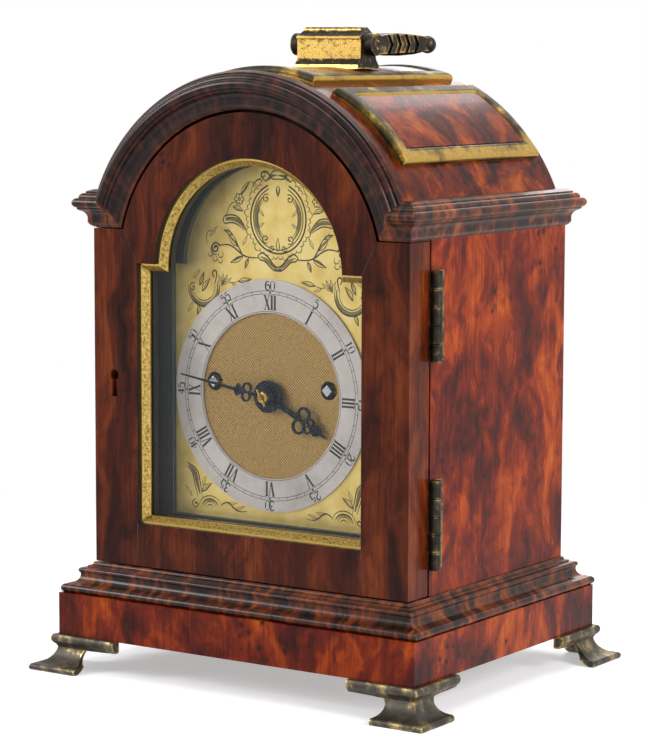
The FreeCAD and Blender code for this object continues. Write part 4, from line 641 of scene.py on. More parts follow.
@dataclass(frozen=True)
class DialBrass:
    """Rolled brass plate, lacquered: bright outside the chapter ring, matted with a cross-hatch inside it."""

    name: str
    centre_x_mm: float = 0.0
    centre_z_mm: float = 153.5
    matted_radius_mm: float = 46.0
    hatch_mm: float = 1.15
    hatch_leans_deg: tuple[float, float] = (52.0, -38.0)
    cloud_mm: float = 14.0
    fleck_mm: float = 1.6
    bright: tuple[tuple[float, str], ...] = ((0.25, "#C4A452"), (0.5, "#DFC474"), (0.8, "#F0DD9C"))
    matted: tuple[tuple[float, str], ...] = ((0.2, "#4E3A1C"), (0.5, "#8F713E"), (0.8, "#C0A066"))

    def make(self) -> bpy.types.Material:
        """Draws the material.

        Returns:
            The material, ready for a piece.
        """
        canvas = new_canvas(self.name, {"Metallic": 0.82})
        tree = canvas.tree
        inside = self.inside_ring(canvas)
        cloud = add_node(
            tree,
            "ShaderNodeTexNoise",
            {"Scale": 1 / self.cloud_mm, "Detail": 6.0, "Roughness": 0.6},
            {"Vector": canvas.place},
        )
        bright = add_node(tree, "ShaderNodeValToRGB", {"stops": self.bright}, {"Fac": cloud.outputs["Fac"]})
        hatch = self.hatching(canvas)
        matted = add_node(tree, "ShaderNodeValToRGB", {"stops": self.matted}, {"Fac": hatch})
        colour = add_node(
            tree,
            "ShaderNodeMixRGB",
            {},
            {"Fac": inside, "Color1": bright.outputs[0], "Color2": matted.outputs[0]},
        )
        tree.links.new(colour.outputs[0], canvas.shader.inputs["Base Color"])
        rough = add_node(tree, "ShaderNodeMapRange", {"To Min": 0.42, "To Max": 0.58}, {"Value": inside})
        tree.links.new(rough.outputs[0], canvas.shader.inputs["Roughness"])
        depth = add_node(tree, "ShaderNodeMath", {"operation": "MULTIPLY"}, {0: hatch, 1: inside})
        relief = add_node(
            tree, "ShaderNodeBump", {"Strength": 0.5, "Distance": 0.0002}, {"Height": depth.outputs[0]}
        )
        tree.links.new(relief.outputs[0], canvas.shader.inputs["Normal"])
        return canvas.material

    def inside_ring(self, canvas: Canvas) -> bpy.types.NodeSocket:
        """Marks the matted centre of the plate.

        Args:
            canvas: the material being made.

        Returns:
            A value that is 1 inside the matted radius.
        """
        tree = canvas.tree
        centre = (self.centre_x_mm, 0.0, self.centre_z_mm)
        offset = add_node(
            tree, "ShaderNodeVectorMath", {"operation": "SUBTRACT", 1: centre}, {0: canvas.place}
        )
        flat = add_node(
            tree,
            "ShaderNodeVectorMath",
            {"operation": "MULTIPLY", 1: (1.0, 0.0, 1.0)},
            {0: offset.outputs[0]},
        )
        radius = add_node(
            tree, "ShaderNodeVectorMath", {"operation": "LENGTH"}, {0: flat.outputs[0]}
        )
        within = add_node(
            tree,
            "ShaderNodeMath",
            {"operation": "LESS_THAN", 1: self.matted_radius_mm},
            {0: radius.outputs["Value"]},
        )
        return within.outputs[0]

    def hatching(self, canvas: Canvas) -> bpy.types.NodeSocket:
        """Draws the roulette's cross-hatch, coarser than the real one so that it shows.

        Args:
            canvas: the material being made.

        Returns:
            A height from 0 to 1.
        """
        tree = canvas.tree
        strokes = []
        for lean in self.hatch_leans_deg:
            turned = add_node(
                tree,
                "ShaderNodeMapping",
                {"Rotation": (0.0, math.radians(lean), 0.0)},
                {"Vector": canvas.place},
            )
            wave = add_node(
                tree,
                "ShaderNodeTexWave",
                {
                    "bands_direction": "X",
                    "Scale": 0.314 / self.hatch_mm,
                    "Distortion": 2.2,
                    "Detail": 2.0,
                    "Detail Scale": 2.0,
                },
                {"Vector": turned.outputs[0]},
            )
            strokes.append(wave.outputs["Fac"])
        crossed = add_node(tree, "ShaderNodeMath", {"operation": "ADD"}, {0: strokes[0], 1: strokes[1]})
        shared = add_node(tree, "ShaderNodeMath", {"operation": "MULTIPLY", 1: 0.35}, {0: crossed.outputs[0]})
        fleck = add_node(
            tree, "ShaderNodeTexNoise", {"Scale": 1 / self.fleck_mm, "Detail": 3.0}, {"Vector": canvas.place}
        )
        mixed = add_node(
            tree,
            "ShaderNodeMath",
            {"operation": "MULTIPLY_ADD", 1: 0.45},
            {0: fleck.outputs["Fac"], 2: shared.outputs[0]},
        )
        return mixed.outputs[0]


@dataclass(frozen=True)
class CloudedMetal:
    """Plain metal whose colour drifts: silvered brass, turned brass, steel or bell metal."""

    name: str
    stops: tuple[tuple[float, str], ...]
    metallic: float
    roughness: tuple[float, float]
    cloud_mm: float = 12.0
    stretch: tuple[float, float, float] = (1.0, 1.0, 1.0)
    bump: float = 0.08

    def make(self) -> bpy.types.Material:
        """Draws the material.

        Returns:
            The material, ready for a piece.
        """
        canvas = new_canvas(self.name, {"Metallic": self.metallic})
        tree = canvas.tree
        drawn = add_node(tree, "ShaderNodeMapping", {"Scale": self.stretch}, {"Vector": canvas.place})
        cloud = add_node(
            tree,
            "ShaderNodeTexNoise",
            {"Scale": 1 / self.cloud_mm, "Detail": 7.0, "Roughness": 0.68},
            {"Vector": drawn.outputs[0]},
        )
        colour = add_node(tree, "ShaderNodeValToRGB", {"stops": self.stops}, {"Fac": cloud.outputs["Fac"]})
        tree.links.new(colour.outputs[0], canvas.shader.inputs["Base Color"])
        low, high = self.roughness
        rough = add_node(
            tree, "ShaderNodeMapRange", {"To Min": low, "To Max": high}, {"Value": cloud.outputs["Fac"]}
        )
        tree.links.new(rough.outputs[0], canvas.shader.inputs["Roughness"])
        relief = add_node(
            tree,
            "ShaderNodeBump",
            {"Strength": self.bump, "Distance": 0.0001},
            {"Height": cloud.outputs["Fac"]},
        )
        tree.links.new(relief.outputs[0], canvas.shader.inputs["Normal"])
        return canvas.material


@dataclass(frozen=True)
class PlainTimber:
    """Planed board: long pale and dark grain lines, oiled or painted.

    The grain is drawn coarser than the real one, so that it shows.
    """

    name: str
    stops: tuple[tuple[float, str], ...]
    grain_mm: float = 1.6
    stretch: tuple[float, float, float] = (1.0, 1.0, 0.06)
    roughness: float = 0.55

    def make(self) -> bpy.types.Material:
        """Draws the material.

        Returns:
            The material, ready for a piece.
        """
        canvas = new_canvas(self.name, {"IOR": 1.5, "Roughness": self.roughness})
        tree = canvas.tree
        long_grain = add_node(tree, "ShaderNodeMapping", {"Scale": self.stretch}, {"Vector": canvas.place})
        grain = add_node(
            tree,
            "ShaderNodeTexNoise",
            {"Scale": 1 / self.grain_mm, "Detail": 5.0, "Roughness": 0.6, "Distortion": 0.4},
            {"Vector": long_grain.outputs[0]},
        )
        colour = add_node(tree, "ShaderNodeValToRGB", {"stops": self.stops}, {"Fac": grain.outputs["Fac"]})
        tree.links.new(colour.outputs[0], canvas.shader.inputs["Base Color"])
        relief = add_node(
            tree, "ShaderNodeBump", {"Strength": 0.3, "Distance": 0.0002}, {"Height": grain.outputs["Fac"]}
        )
        tree.links.new(relief.outputs[0], canvas.shader.inputs["Normal"])
        return canvas.material


@dataclass(frozen=True)
class ThinGlass:
    """Old crown glass pane: clear, with a faint grey veil and slow waves."""

    name: str
    tint: str = "#6F7674"
    cover: float = 0.08
    wave_mm: float = 45.0

    def make(self) -> bpy.types.Material:
        """Draws the material.

        Returns:
            The material, ready for a piece.
        """
        canvas = new_canvas(
            self.name, {"Base Color": linear(self.tint), "Roughness": 0.03, "IOR": 1.52, "Alpha": self.cover}
        )
        waves = add_node(
            canvas.tree,
            "ShaderNodeTexNoise",
            {"Scale": 1 / self.wave_mm, "Detail": 1.0},
            {"Vector": canvas.place},
        )
        relief = add_node(
            canvas.tree,
            "ShaderNodeBump",
            {"Strength": 0.1, "Distance": 0.0005},
            {"Height": waves.outputs["Fac"]},
        )
        canvas.tree.links.new(relief.outputs[0], canvas.shader.inputs["Normal"])
        return canvas.material


# Burr veneer, sawn and french polished: orange flames in red-brown under a thin gloss.
SIDE_BURR = BurrVeneer(
    "burr_veneer_bright",
    ((0.28, "#2A0A07"), (0.4, "#561406"), (0.51, "#7C2406"), (0.62, "#A84008"), (0.78, "#CA6616")),
    figure_mm=21.0,
)
# The same veneer laid over the roof: darker, with a figure that leans.
ROOF_BURR = BurrVeneer(
    "burr_veneer_roof",
    ((0.3, "#1C0706"), (0.42, "#441308"), (0.52, "#6E2508"), (0.62, "#9C420C"), (0.76, "#C06818")),
    figure_mm=24.0,
    lean_deg=38.0,
)
# Plainer veneer on the door: brown, in upright streaks, with painted light that makes its faces turned sideways
# brighter.
DOOR_BURR = BurrVeneer(
    "burr_veneer_door",
    ((0.3, "#160705"), (0.42, "#381208"), (0.52, "#521E0B"), (0.63, "#702E10"), (0.78, "#90481A")),
    figure_mm=20.0,
    knot_cover=0.64,
    lean_deg=4.0,
    curl_gain=0.14,
    stretch=0.2,
    painted_side_light=0.1,
)
# Cross-grained moulding, stained and waxed: dark, with rubbed brown ridges and fine joints.
STRAIGHT_MOULDING = StainedMoulding(
    "stained_moulding_straight",
    Run.STRAIGHT,
    body=((0.36, "#0E0705"), (0.47, "#2C130B"), (0.56, "#5A270F"), (0.7, "#8C4717")),
    ridge="#9A5A3A",
)
# The same moulding round the arch: nearer black, with few joints.
ARCHED_MOULDING = StainedMoulding("stained_moulding_arched", Run.ARCHED, joint_mm=130.0)
# Oak, planed and oiled: dull mid-brown with long grain.
OAK = PlainTimber("oiled_oak", ((0.3, "#3E2412"), (0.5, "#6B4423"), (0.75, "#8A5F35")))
# Pine, painted blue-black: flat and dark, so that the dial stands out.
DARK_PAINT = PlainTimber(
    "dark_painted_wood", ((0.3, "#0C0E10"), (0.5, "#16191C"), (0.75, "#212528")), roughness=0.5
)
# Cast brass, left to tarnish: olive-grey with pale rubbed edges.
FOOT_BRASS = AgedBrass(
    "foot_brass",
    ((0.3, "#2E2A24"), (0.5, "#4A443A"), (0.72, "#6A604C")),
    ((0.3, "#9C8550"), (0.6, "#C9AE6C")),
    wear_and_highlight_share=0.4,
)
# Cast brass, darkened by hands: near black in the hollows, gold on the ridges.
HANDLE_BRASS = AgedBrass(
    "handle_brass",
    ((0.3, "#15120E"), (0.5, "#2B241A"), (0.72, "#463A25")),
    ((0.3, "#A08040"), (0.6, "#D2AE62")),
    wear_and_highlight_share=0.36,
)
# Cast brass: a bright gold face with dark pits, partly rubbed bright and partly a painted highlight on the faces
# turned to the front.
PEDESTAL_BRASS = AgedBrass(
    "pedestal_brass",
    ((0.3, "#15120E"), (0.5, "#2B241A"), (0.72, "#463A25")),
    ((0.3, "#B48A3C"), (0.6, "#E4BE6A")),
    wear_and_highlight_share=0.3,
    painted_highlight_gain=0.36,
    patch_mm=3.2,
)
# Drawn brass strip: broad gold patches in an olive skin, partly rubbed bright and partly a painted highlight on
# the faces turned sideways.
PANEL_FRAME_BRASS = AgedBrass(
    "panel_frame_brass",
    ((0.3, "#1C180E"), (0.5, "#3C331C"), (0.72, "#665628")),
    ((0.3, "#A07E34"), (0.6, "#CFA850")),
    wear_and_highlight_share=0.4,
    ridge_gain=0.6,
    painted_highlight_axis="X",
    painted_highlight_from=0.68,
    painted_highlight_gain=0.3,
    patch_mm=16.0,
)
# Pressed brass, never polished: dark green-brown with a thin light edge.
HINGE_BRASS = AgedBrass(
    "hinge_brass",
    ((0.3, "#16130F"), (0.5, "#2A251C"), (0.72, "#403828")),
    ((0.3, "#7A6840"), (0.6, "#A08C5C")),
    wear_and_highlight_share=0.26,
    patch_mm=5.0,
)
# Gilt brass, worn through: small gold patches in brown, with a painted highlight that brightens the faces turned
# to the front.
GILT_BRASS = AgedBrass(
    "gilt_brass",
    ((0.3, "#241C10"), (0.5, "#4A3A1C"), (0.72, "#76602E")),
    ((0.3, "#A88A44"), (0.6, "#D8B868")),
    wear_and_highlight_share=0.42,
    painted_highlight_from=0.7,
    painted_highlight_gain=0.34,
    patch_mm=3.0,
)
# Gilt brass behind the glass, little worn: even gold with fine dark flecks, and a painted highlight that makes the
# faces turned to the front brighter than the bevels.
SIGHT_BRASS = AgedBrass(
    "sight_brass",
    ((0.3, "#5C4A24"), (0.5, "#8C7238"), (0.72, "#A88C4A")),
    ((0.3, "#A88A44"), (0.6, "#D8B868")),
    wear_and_highlight_share=0.66,
    painted_highlight_from=0.7,
    painted_highlight_gain=0.34,
    patch_mm=1.4,
)
# Rolled brass, lacquered: pale yellow outside the ring, matted and duller inside it.
DIAL_BRASS = DialBrass("dial_brass")
# Silvered brass, lacquered: soft warm grey without a mirror.
SILVERING = CloudedMetal(
    "silvered_brass",
    ((0.3, "#B5ABA4"), (0.5, "#CFC6C0"), (0.75, "#DDD5CF")),
    0.12,
    (0.42, 0.52),
    cloud_mm=22.0,
)
# Brass, turned and lacquered: clear yellow with soft bright streaks.
TURNED_BRASS = CloudedMetal(
    "turned_brass", ((0.3, "#8A6A2A"), (0.5, "#B08D3E"), (0.75, "#C8A556")), 1.0, (0.28, 0.42)
)
# Bell bronze, cast and turned: dull brown-yellow.
BELL_METAL = CloudedMetal(
    "bell_metal", ((0.3, "#6F5A35"), (0.5, "#93794A"), (0.75, "#AD9464")), 1.0, (0.3, 0.45)
)
# Steel, filed and blued by heat: near black with a blue sheen.
BLUED_STEEL = CloudedMetal(
    "blued_steel", ((0.3, "#0E1118"), (0.5, "#1C242F"), (0.75, "#3A4858")), 1.0, (0.26, 0.4), cloud_mm=4.0
)
# Steel, polished: mid-grey with a sharp gloss.
STEEL = CloudedMetal(
    "polished_steel", ((0.3, "#6E6E6C"), (0.5, "#9A9A97"), (0.75, "#B9B9B4")), 1.0, (0.22, 0.36)
)
# Twisted gut: matt straw yellow.
GUT = CloudedMetal("gut_line", ((0.3, "#8A6A3C"), (0.5, "#B08F5A"), (0.75, "#C9AC78")), 0.0, (0.5, 0.6))
# Crown glass: clear, with a faint grey veil and slow waves.
GLASS = ThinGlass("crown_glass")
# Wax in engraved brass: dark olive lines.
ENGRAVING = CloudedMetal(
    "engraving_wax", ((0.3, "#1C1B10"), (0.5, "#302D1A"), (0.75, "#4A4528")), 0.0, (0.5, 0.7)
)
# Fine hatching in engraved brass, drawn as one tone because its strokes are too fine to show.
SHADING = CloudedMetal(
    "engraving_hatch", ((0.3, "#4E4726"), (0.5, "#776C3C"), (0.75, "#A3935A")), 0.3, (0.45, 0.6), cloud_mm=1.2
)
# Black wax in the silvered ring: crisp dark figures.
NUMERAL_WAX = CloudedMetal(
    "numeral_wax", ((0.3, "#17161A"), (0.5, "#262428"), (0.75, "#3A3638")), 0.0, (0.4, 0.55)
)
# A matt black line: the open joint of two veneers; also the black lining of the reveal, and the painted shade of
# the strips under the cornice.
JOINT_SHADOW = CloudedMetal(
    "joint_shadow", ((0.3, "#050303"), (0.5, "#0B0706"), (0.75, "#140C0A")), 0.0, (0.5, 0.7)
)
# Painted highlight: a thin grey line along the mask's edge, where its chamfer would catch the light.
PAINTED_EDGE_HIGHLIGHT = CloudedMetal(
    "painted_edge_highlight", ((0.3, "#3E4042"), (0.5, "#5E6062"), (0.75, "#7C7E80")), 0.0, (0.4, 0.5)
)
# Steel, bright from the key: pale grey.
BRIGHT_STEEL = CloudedMetal(
    "bright_steel", ((0.3, "#A5A8AA"), (0.5, "#C4C8CA"), (0.75, "#DFE2E4")), 0.8, (0.2, 0.3)
)

SLOT_FINISH: dict[str, Finish] = {
    "burr": SIDE_BURR,
    "burr_door": DOOR_BURR,
    "dark_moulding": STRAIGHT_MOULDING,
    "carcass": OAK,
    "dark_mask": DARK_PAINT,
    "patinated_brass": FOOT_BRASS,
    "gilt_brass": GILT_BRASS,
    "dial_brass": DIAL_BRASS,
    "silvered": SILVERING,
    "movement_brass": TURNED_BRASS,
    "blued_steel": BLUED_STEEL,
    "steel": STEEL,
    "glass": GLASS,
    "bell_metal": BELL_METAL,
    "gut": GUT,
}
NODE_FINISH: dict[str, Finish] = {
    "sight_frame": SIGHT_BRASS,
    "roof": ROOF_BURR,
    "roof_panels": ROOF_BURR,
    "arch_moulding": ARCHED_MOULDING,
    "arch_head": ARCHED_MOULDING,
    "handle": HANDLE_BRASS,
    "handle_pedestal": PEDESTAL_BRASS,
    "roof_panel_frames": PANEL_FRAME_BRASS,
    "door_hinge_case_leaves": HINGE_BRASS,
    "door_hinge_door_leaves": HINGE_BRASS,
}


class Palette:
    """Makes each finish once and hands it out."""

    def __init__(self) -> None:
        """Starts with nothing made."""
        self.made: dict[str, bpy.types.Material] = {}

    def get(self, finish: Finish) -> bpy.types.Material:
        """Gives the material of a finish, made on first use."""
        if finish.name not in self.made:
            self.made[finish.name] = finish.make()
        return self.made[finish.name]

    def dress(self, node: str, obj: bpy.types.Object) -> None:
        """Gives a node of the frame its finish.

        Args:
            node: the node's name.
            obj: the node's object.
        """
        for holder in obj.material_slots:
            finish = NODE_FINISH.get(node) or SLOT_FINISH[holder.material.name.split(".")[0]]
            holder.material = self.get(finish)


PALETTE = Palette()


# ---------------------------------------------------------------- engraving


class Graver:
    """Collects cuts on an upright plane that faces the front and turns them into one inlay."""

    def __init__(self, name: str, plane_y_mm: float, proud_mm: float) -> None:
        """Starts an empty set of cuts.

        Args:
            name: the piece's name.
            plane_y_mm: where the engraved face stands.
            proud_mm: how far the wax stands out of the face.
        """
        self.name = name
        self.plane_y = plane_y_mm
        self.proud = proud_mm
        self.mirror_x: float | None = None
        self.curve = bpy.data.curves.new(name, "CURVE")
        self.curve.dimensions = "3D"
        self.curve.bevel_depth = MM / 2
        self.curve.bevel_resolution = 1
        self.curve.resolution_u = 5
        self.curve.use_fill_caps = True

    def cut(
        self, path: Sequence[Point], widths: Sequence[float], closed: bool = False, order: int = 3
    ) -> None:
        """Adds one cut.

        Args:
            path: points in millimetres across and up.
            widths: widths in millimetres, spread evenly along the path.
            closed: True joins the end to the start.
            order: 3 for a smooth cut, 2 for straight runs.
        """
        spline = self.curve.splines.new("NURBS")
        spline.points.add(len(path) - 1)
        for index, (point, (across, up)) in enumerate(zip(spline.points, path)):
            if self.mirror_x is not None:
                across = 2 * self.mirror_x - across
            point.co = (across * MM, self.plane_y * MM, up * MM, 1.0)
            place = index / max(len(path) - 1, 1) * (len(widths) - 1)
            low = min(int(place), len(widths) - 2) if len(widths) > 1 else 0
            high = min(low + 1, len(widths) - 1)
            point.radius = widths[low] + (widths[high] - widths[low]) * (place - low)
        spline.use_cyclic_u = closed
        spline.use_endpoint_u = not closed
        spline.order_u = min(order, len(path))

    def arc(
        self, centre: Point, radii: Point, start: float, end: float, widths: Sequence[float], points: int = 9
    ) -> None:
        """Adds a cut along part of an ellipse, with angles in degrees from across, turning up.

        Args:
            centre: the ellipse's centre.
            radii: half its width and half its height.
            start: the first angle.
            end: the last angle.
            widths: the cut's widths along it.
            points: how many points the cut gets.
        """
        path = []
        for step in range(points):
            angle = math.radians(start + (end - start) * step / (points - 1))
            path.append((centre[0] + radii[0] * math.cos(angle), centre[1] + radii[1] * math.sin(angle)))
        self.cut(path, widths)

    def ring(self, centre: Point, radius: float, width: float) -> None:
        """Adds a full circle.

        Args:
            centre: the circle's centre.
            radius: its radius.
            width: the cut's width.
        """
        steps = 96
        path = []
        for step in range(steps):
            angle = math.tau * step / steps
            path.append((centre[0] + radius * math.cos(angle), centre[1] + radius * math.sin(angle)))
        self.cut(path, (width,), closed=True)

    def volute(self, eye: Point, radius: float, start: float, turns: float, width: float) -> None:
        """Adds a spiral that winds in from its radius to its eye.

        Args:
            eye: the spiral's centre.
            radius: where it starts.
            start: the starting angle in degrees.
            turns: how often it goes round; negative turns the other way.
            width: the cut's width at the start.
        """
        steps = 14
        path = []
        for step in range(steps):
            share = step / (steps - 1)
            angle = math.radians(start) + math.tau * turns * share
            reach = radius * (1 - 0.86 * share)
            path.append((eye[0] + reach * math.cos(angle), eye[1] + reach * math.sin(angle)))
        self.cut(path, (width, width * 0.9, width * 1.6))

    def leaf(self, base: Point, tip: Point, breadth: float, width: float, bend: float = 0.0) -> None:
        """Adds a pointed leaf: two sides and a rib.

        Args:
            base: where it leaves its stem.
            tip: its point.
            breadth: its greatest width.
            width: the width of its cuts.
            bend: how far its middle leans to the left of its run.
        """
        run = Vector((tip[0] - base[0], tip[1] - base[1]))
        left = Vector((-run.y, run.x)).normalized()
        start = Vector(base)
        for side, weight in ((1, 1.0), (-1, 1.5)):
            low = start + run * 0.3 + left * (bend + side * breadth * 0.62)
            high = start + run * 0.68 + left * (bend + side * breadth * 0.4)
            self.cut((base, tuple(low), tuple(high), tip), (width * 0.6, width * weight, width * 0.6))
        rib = start + run * 0.5 + left * bend
        self.cut((base, tuple(rib), tuple(start + run * 0.85)), (width * 0.7, width * 0.5))

    def flower(self, centre: Point, radius: float, petals: int, width: float) -> None:
        """Adds a round flower with lobed petals and a ringed eye.

        Args:
            centre: the flower's centre.
            radius: half its width.
            petals: how many petals it has.
            width: the cuts' width.
        """
        for petal in range(petals):
            angle = math.tau * petal / petals
            at = (centre[0] + radius * 0.62 * math.cos(angle), centre[1] + radius * 0.62 * math.sin(angle))
            turn = math.degrees(angle)
            self.arc(
                at,
                (radius * 0.42, radius * 0.42),
                turn - 115,
                turn + 115,
                (width * 0.6, width, width * 0.6),
                7,
            )
        self.ring(centre, radius * 0.24, width)

    def piece(self, finish: Finish, body: str) -> bpy.types.Object:
        """Makes the inlay's mesh, flattens it on to its plane and lets it ride.

        Args:
            finish: the inlay's finish.
            body: the body that carries it.

        Returns:
            The finished piece.
        """
        shape = mesh_of(self.curve)
        plane = Matrix.Translation((0.0, -self.plane_y * MM, 0.0))
        highest = max(abs(vert.co.y - self.plane_y * MM) for vert in shape.verts)
        flattened = min(2 * self.proud, self.proud * MM / highest)
        bmesh.ops.scale(shape, vec=(1.0, flattened, 1.0), space=plane, verts=shape.verts)
        return finished_piece(self.name, shape, finish, body)


def mesh_of(curve: bpy.types.Curve) -> bmesh.types.BMesh:
    """Reads the mesh that a curve with a bevel makes.

    Args:
        curve: the curve, which isn't left in the scene.

    Returns:
        Its mesh as a bmesh.
    """
    holder = bpy.data.objects.new(curve.name + "_curve", curve)
    bpy.context.scene.collection.objects.link(holder)
    bpy.context.view_layer.update()
    graph = bpy.context.evaluated_depsgraph_get()
    mesh = bpy.data.meshes.new_from_object(holder.evaluated_get(graph))
    bpy.data.objects.remove(holder)
    shape = bmesh.new()
    shape.from_mesh(mesh)
    return shape


def finished_piece(
    name: str, shape: bmesh.types.BMesh, finish: Finish, body: str, smooth: bool = True
) -> bpy.types.Object:
    """Turns a bmesh into a piece that rides on a body.

    Args:
        name: the piece's name.
        shape: its mesh, in metres and in place; it is freed.
        finish: its finish.
        body: the body that carries it.
        smooth: True shades its faces smooth.

    Returns:
        The piece's object.
    """
    bmesh.ops.remove_doubles(shape, verts=shape.verts, dist=0.000001)
    bmesh.ops.recalc_face_normals(shape, faces=shape.faces)
    for face in shape.faces:
        face.smooth = smooth
    mesh = bpy.data.meshes.new(name)
    shape.to_mesh(mesh)
    shape.free()
    mesh.materials.append(PALETTE.get(finish))
    obj = bpy.data.objects.new(name, mesh)
    bpy.context.scene.collection.objects.link(obj)
    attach(obj, body)
    LOG.info("%s: %d faces on %s", name, len(mesh.polygons), body)
    return obj


@dataclass(frozen=True)
class ChapterRing:
    """The silvered ring's wax-filled figures: minutes, minute track and hours."""

    centre_z_mm: float = 153.5
    minute_figure_foot_mm: float = 56.1
    minute_figure_high_mm: float = 4.3
    track_outer_mm: float = 55.5
    track_inner_mm: float = 53.9
    hour_foot_mm: float = 45.6
    hour_head_mm: float = 53.1
    thick_mm: float = 1.3
    thin_mm: float = 0.5
    line_mm: float = 0.34
    serif_mm: float = 0.42
    lean_mm: float = 1.35
    vee_foot_mm: float = 0.15
    vee_gap_mm: float = 0.1
    mark_half_mm: float = 0.75
    digit_pitch: float = 0.74

    def build(self) -> None:
        """Engraves the ring."""
        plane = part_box("chapter_ring")[0].y * PER_METRE
        graver = Graver("chapter_figures", plane, 0.03)
        self.track(graver)
        for hour, numeral in enumerate(ROMAN_HOURS):
            self.hour(graver, 30.0 * hour, numeral)
        for five in range(1, 13):
            self.minute(graver, 30.0 * five, str(5 * five))
        graver.piece(NUMERAL_WAX, "case")

    def at(self, turn: float, across: float, out: float) -> Point:
        """Places a point of a figure that stands on the ring with its foot to the centre.

        Args:
            turn: the figure's angle clockwise from twelve, in degrees.
            across: the distance to the right of the figure's middle.
            out: the distance from the dial's centre.

        Returns:
            The point across and up.
        """
        angle = math.radians(turn)
        x = out * math.sin(angle) + across * math.cos(angle)
        z = out * math.cos(angle) - across * math.sin(angle)
        return x, self.centre_z_mm + z

    def track(self, graver: Graver) -> None:
        """Cuts the minute track, the five-minute marks and the ring's edge lines.

        Args:
            graver: the set of cuts.
        """
        centre = (0.0, self.centre_z_mm)
        for radius in (self.track_outer_mm, self.track_inner_mm, self.hour_foot_mm - 0.9):
            graver.ring(centre, radius, self.line_mm)
        for minute in range(60):
            turn = 6.0 * minute
            ends = (self.at(turn, 0, self.track_inner_mm), self.at(turn, 0, self.track_outer_mm))
            graver.cut(ends, (self.line_mm,), order=2)
            if minute % 5 == 0:
                middle = (self.track_inner_mm + self.track_outer_mm) / 2
                spot = (
                    self.at(turn, 0, middle - self.mark_half_mm),
                    self.at(turn, 0, middle),
                    self.at(turn, 0, middle + self.mark_half_mm),
                )
                graver.cut(spot, (0.3, 1.3, 0.3), order=2)

    def hour(self, graver: Graver, turn: float, numeral: str) -> None:
        """Cuts one hour figure.

        Args:
            graver: the set of cuts.
            turn: the figure's angle clockwise from twelve, in degrees.
            numeral: its letters.
        """
        wide = {"I": 1.95, "V": 4.1, "X": 4.1}
        left = -sum(wide[letter] for letter in numeral) / 2
        foot, head = self.hour_foot_mm, self.hour_head_mm
        for letter in numeral:
            middle = left + wide[letter] / 2
            if letter == "I":
                strokes = ((middle, middle, self.thick_mm),)
            elif letter == "V":
                meeting = middle + self.vee_foot_mm
                strokes = (
                    (middle - self.lean_mm, meeting, self.thick_mm),
                    (middle + self.lean_mm + self.vee_gap_mm, meeting + self.vee_gap_mm, self.thin_mm),
                )
            else:
                left_top, right_top = middle - self.lean_mm, middle + self.lean_mm
                strokes = ((left_top, right_top, self.thick_mm), (right_top, left_top, self.thin_mm))
            for top, bottom, width in strokes:
                graver.cut((self.at(turn, top, head), self.at(turn, bottom, foot)), (width,), order=2)
                serif = width / 2 + self.serif_mm
                graver.cut(
                    (self.at(turn, top - serif, head), self.at(turn, top + serif, head)),
                    (self.line_mm,),
                    order=2,
                )
                if letter != "V":
                    ends = (self.at(turn, bottom - serif, foot), self.at(turn, bottom + serif, foot))
                    graver.cut(ends, (self.line_mm,), order=2)
            left += wide[letter]

    def minute(self, graver: Graver, turn: float, figure: str) -> None:
        """Cuts one minute figure.

        Args:
            graver: the set of cuts.
            turn: the figure's angle clockwise from twelve, in degrees.
            figure: its digits.
        """
        size = self.minute_figure_high_mm
        left = -self.digit_pitch * len(figure) / 2 + 0.05
        for digit in figure:
            for stroke in DIGITS[digit]:
                placed = [
                    self.at(turn, (left + x) * size, self.minute_figure_foot_mm + y * size) for x, y in stroke.path
                ]
                graver.cut(placed, [width * size for width in stroke.widths], stroke.closed)
            left += self.digit_pitch


ROMAN_HOURS = ("XII", "I", "II", "III", "IIII", "V", "VI", "VII", "VIII", "IX", "X", "XI")

HAIR = 0.09
STEM = 0.25

@dataclass(frozen=True)
class Stroke:
    """One stroke of a digit a unit high: its path, its widths and whether it closes."""

    path: tuple[Point, ...]
    widths: tuple[float, ...]
    closed: bool = False


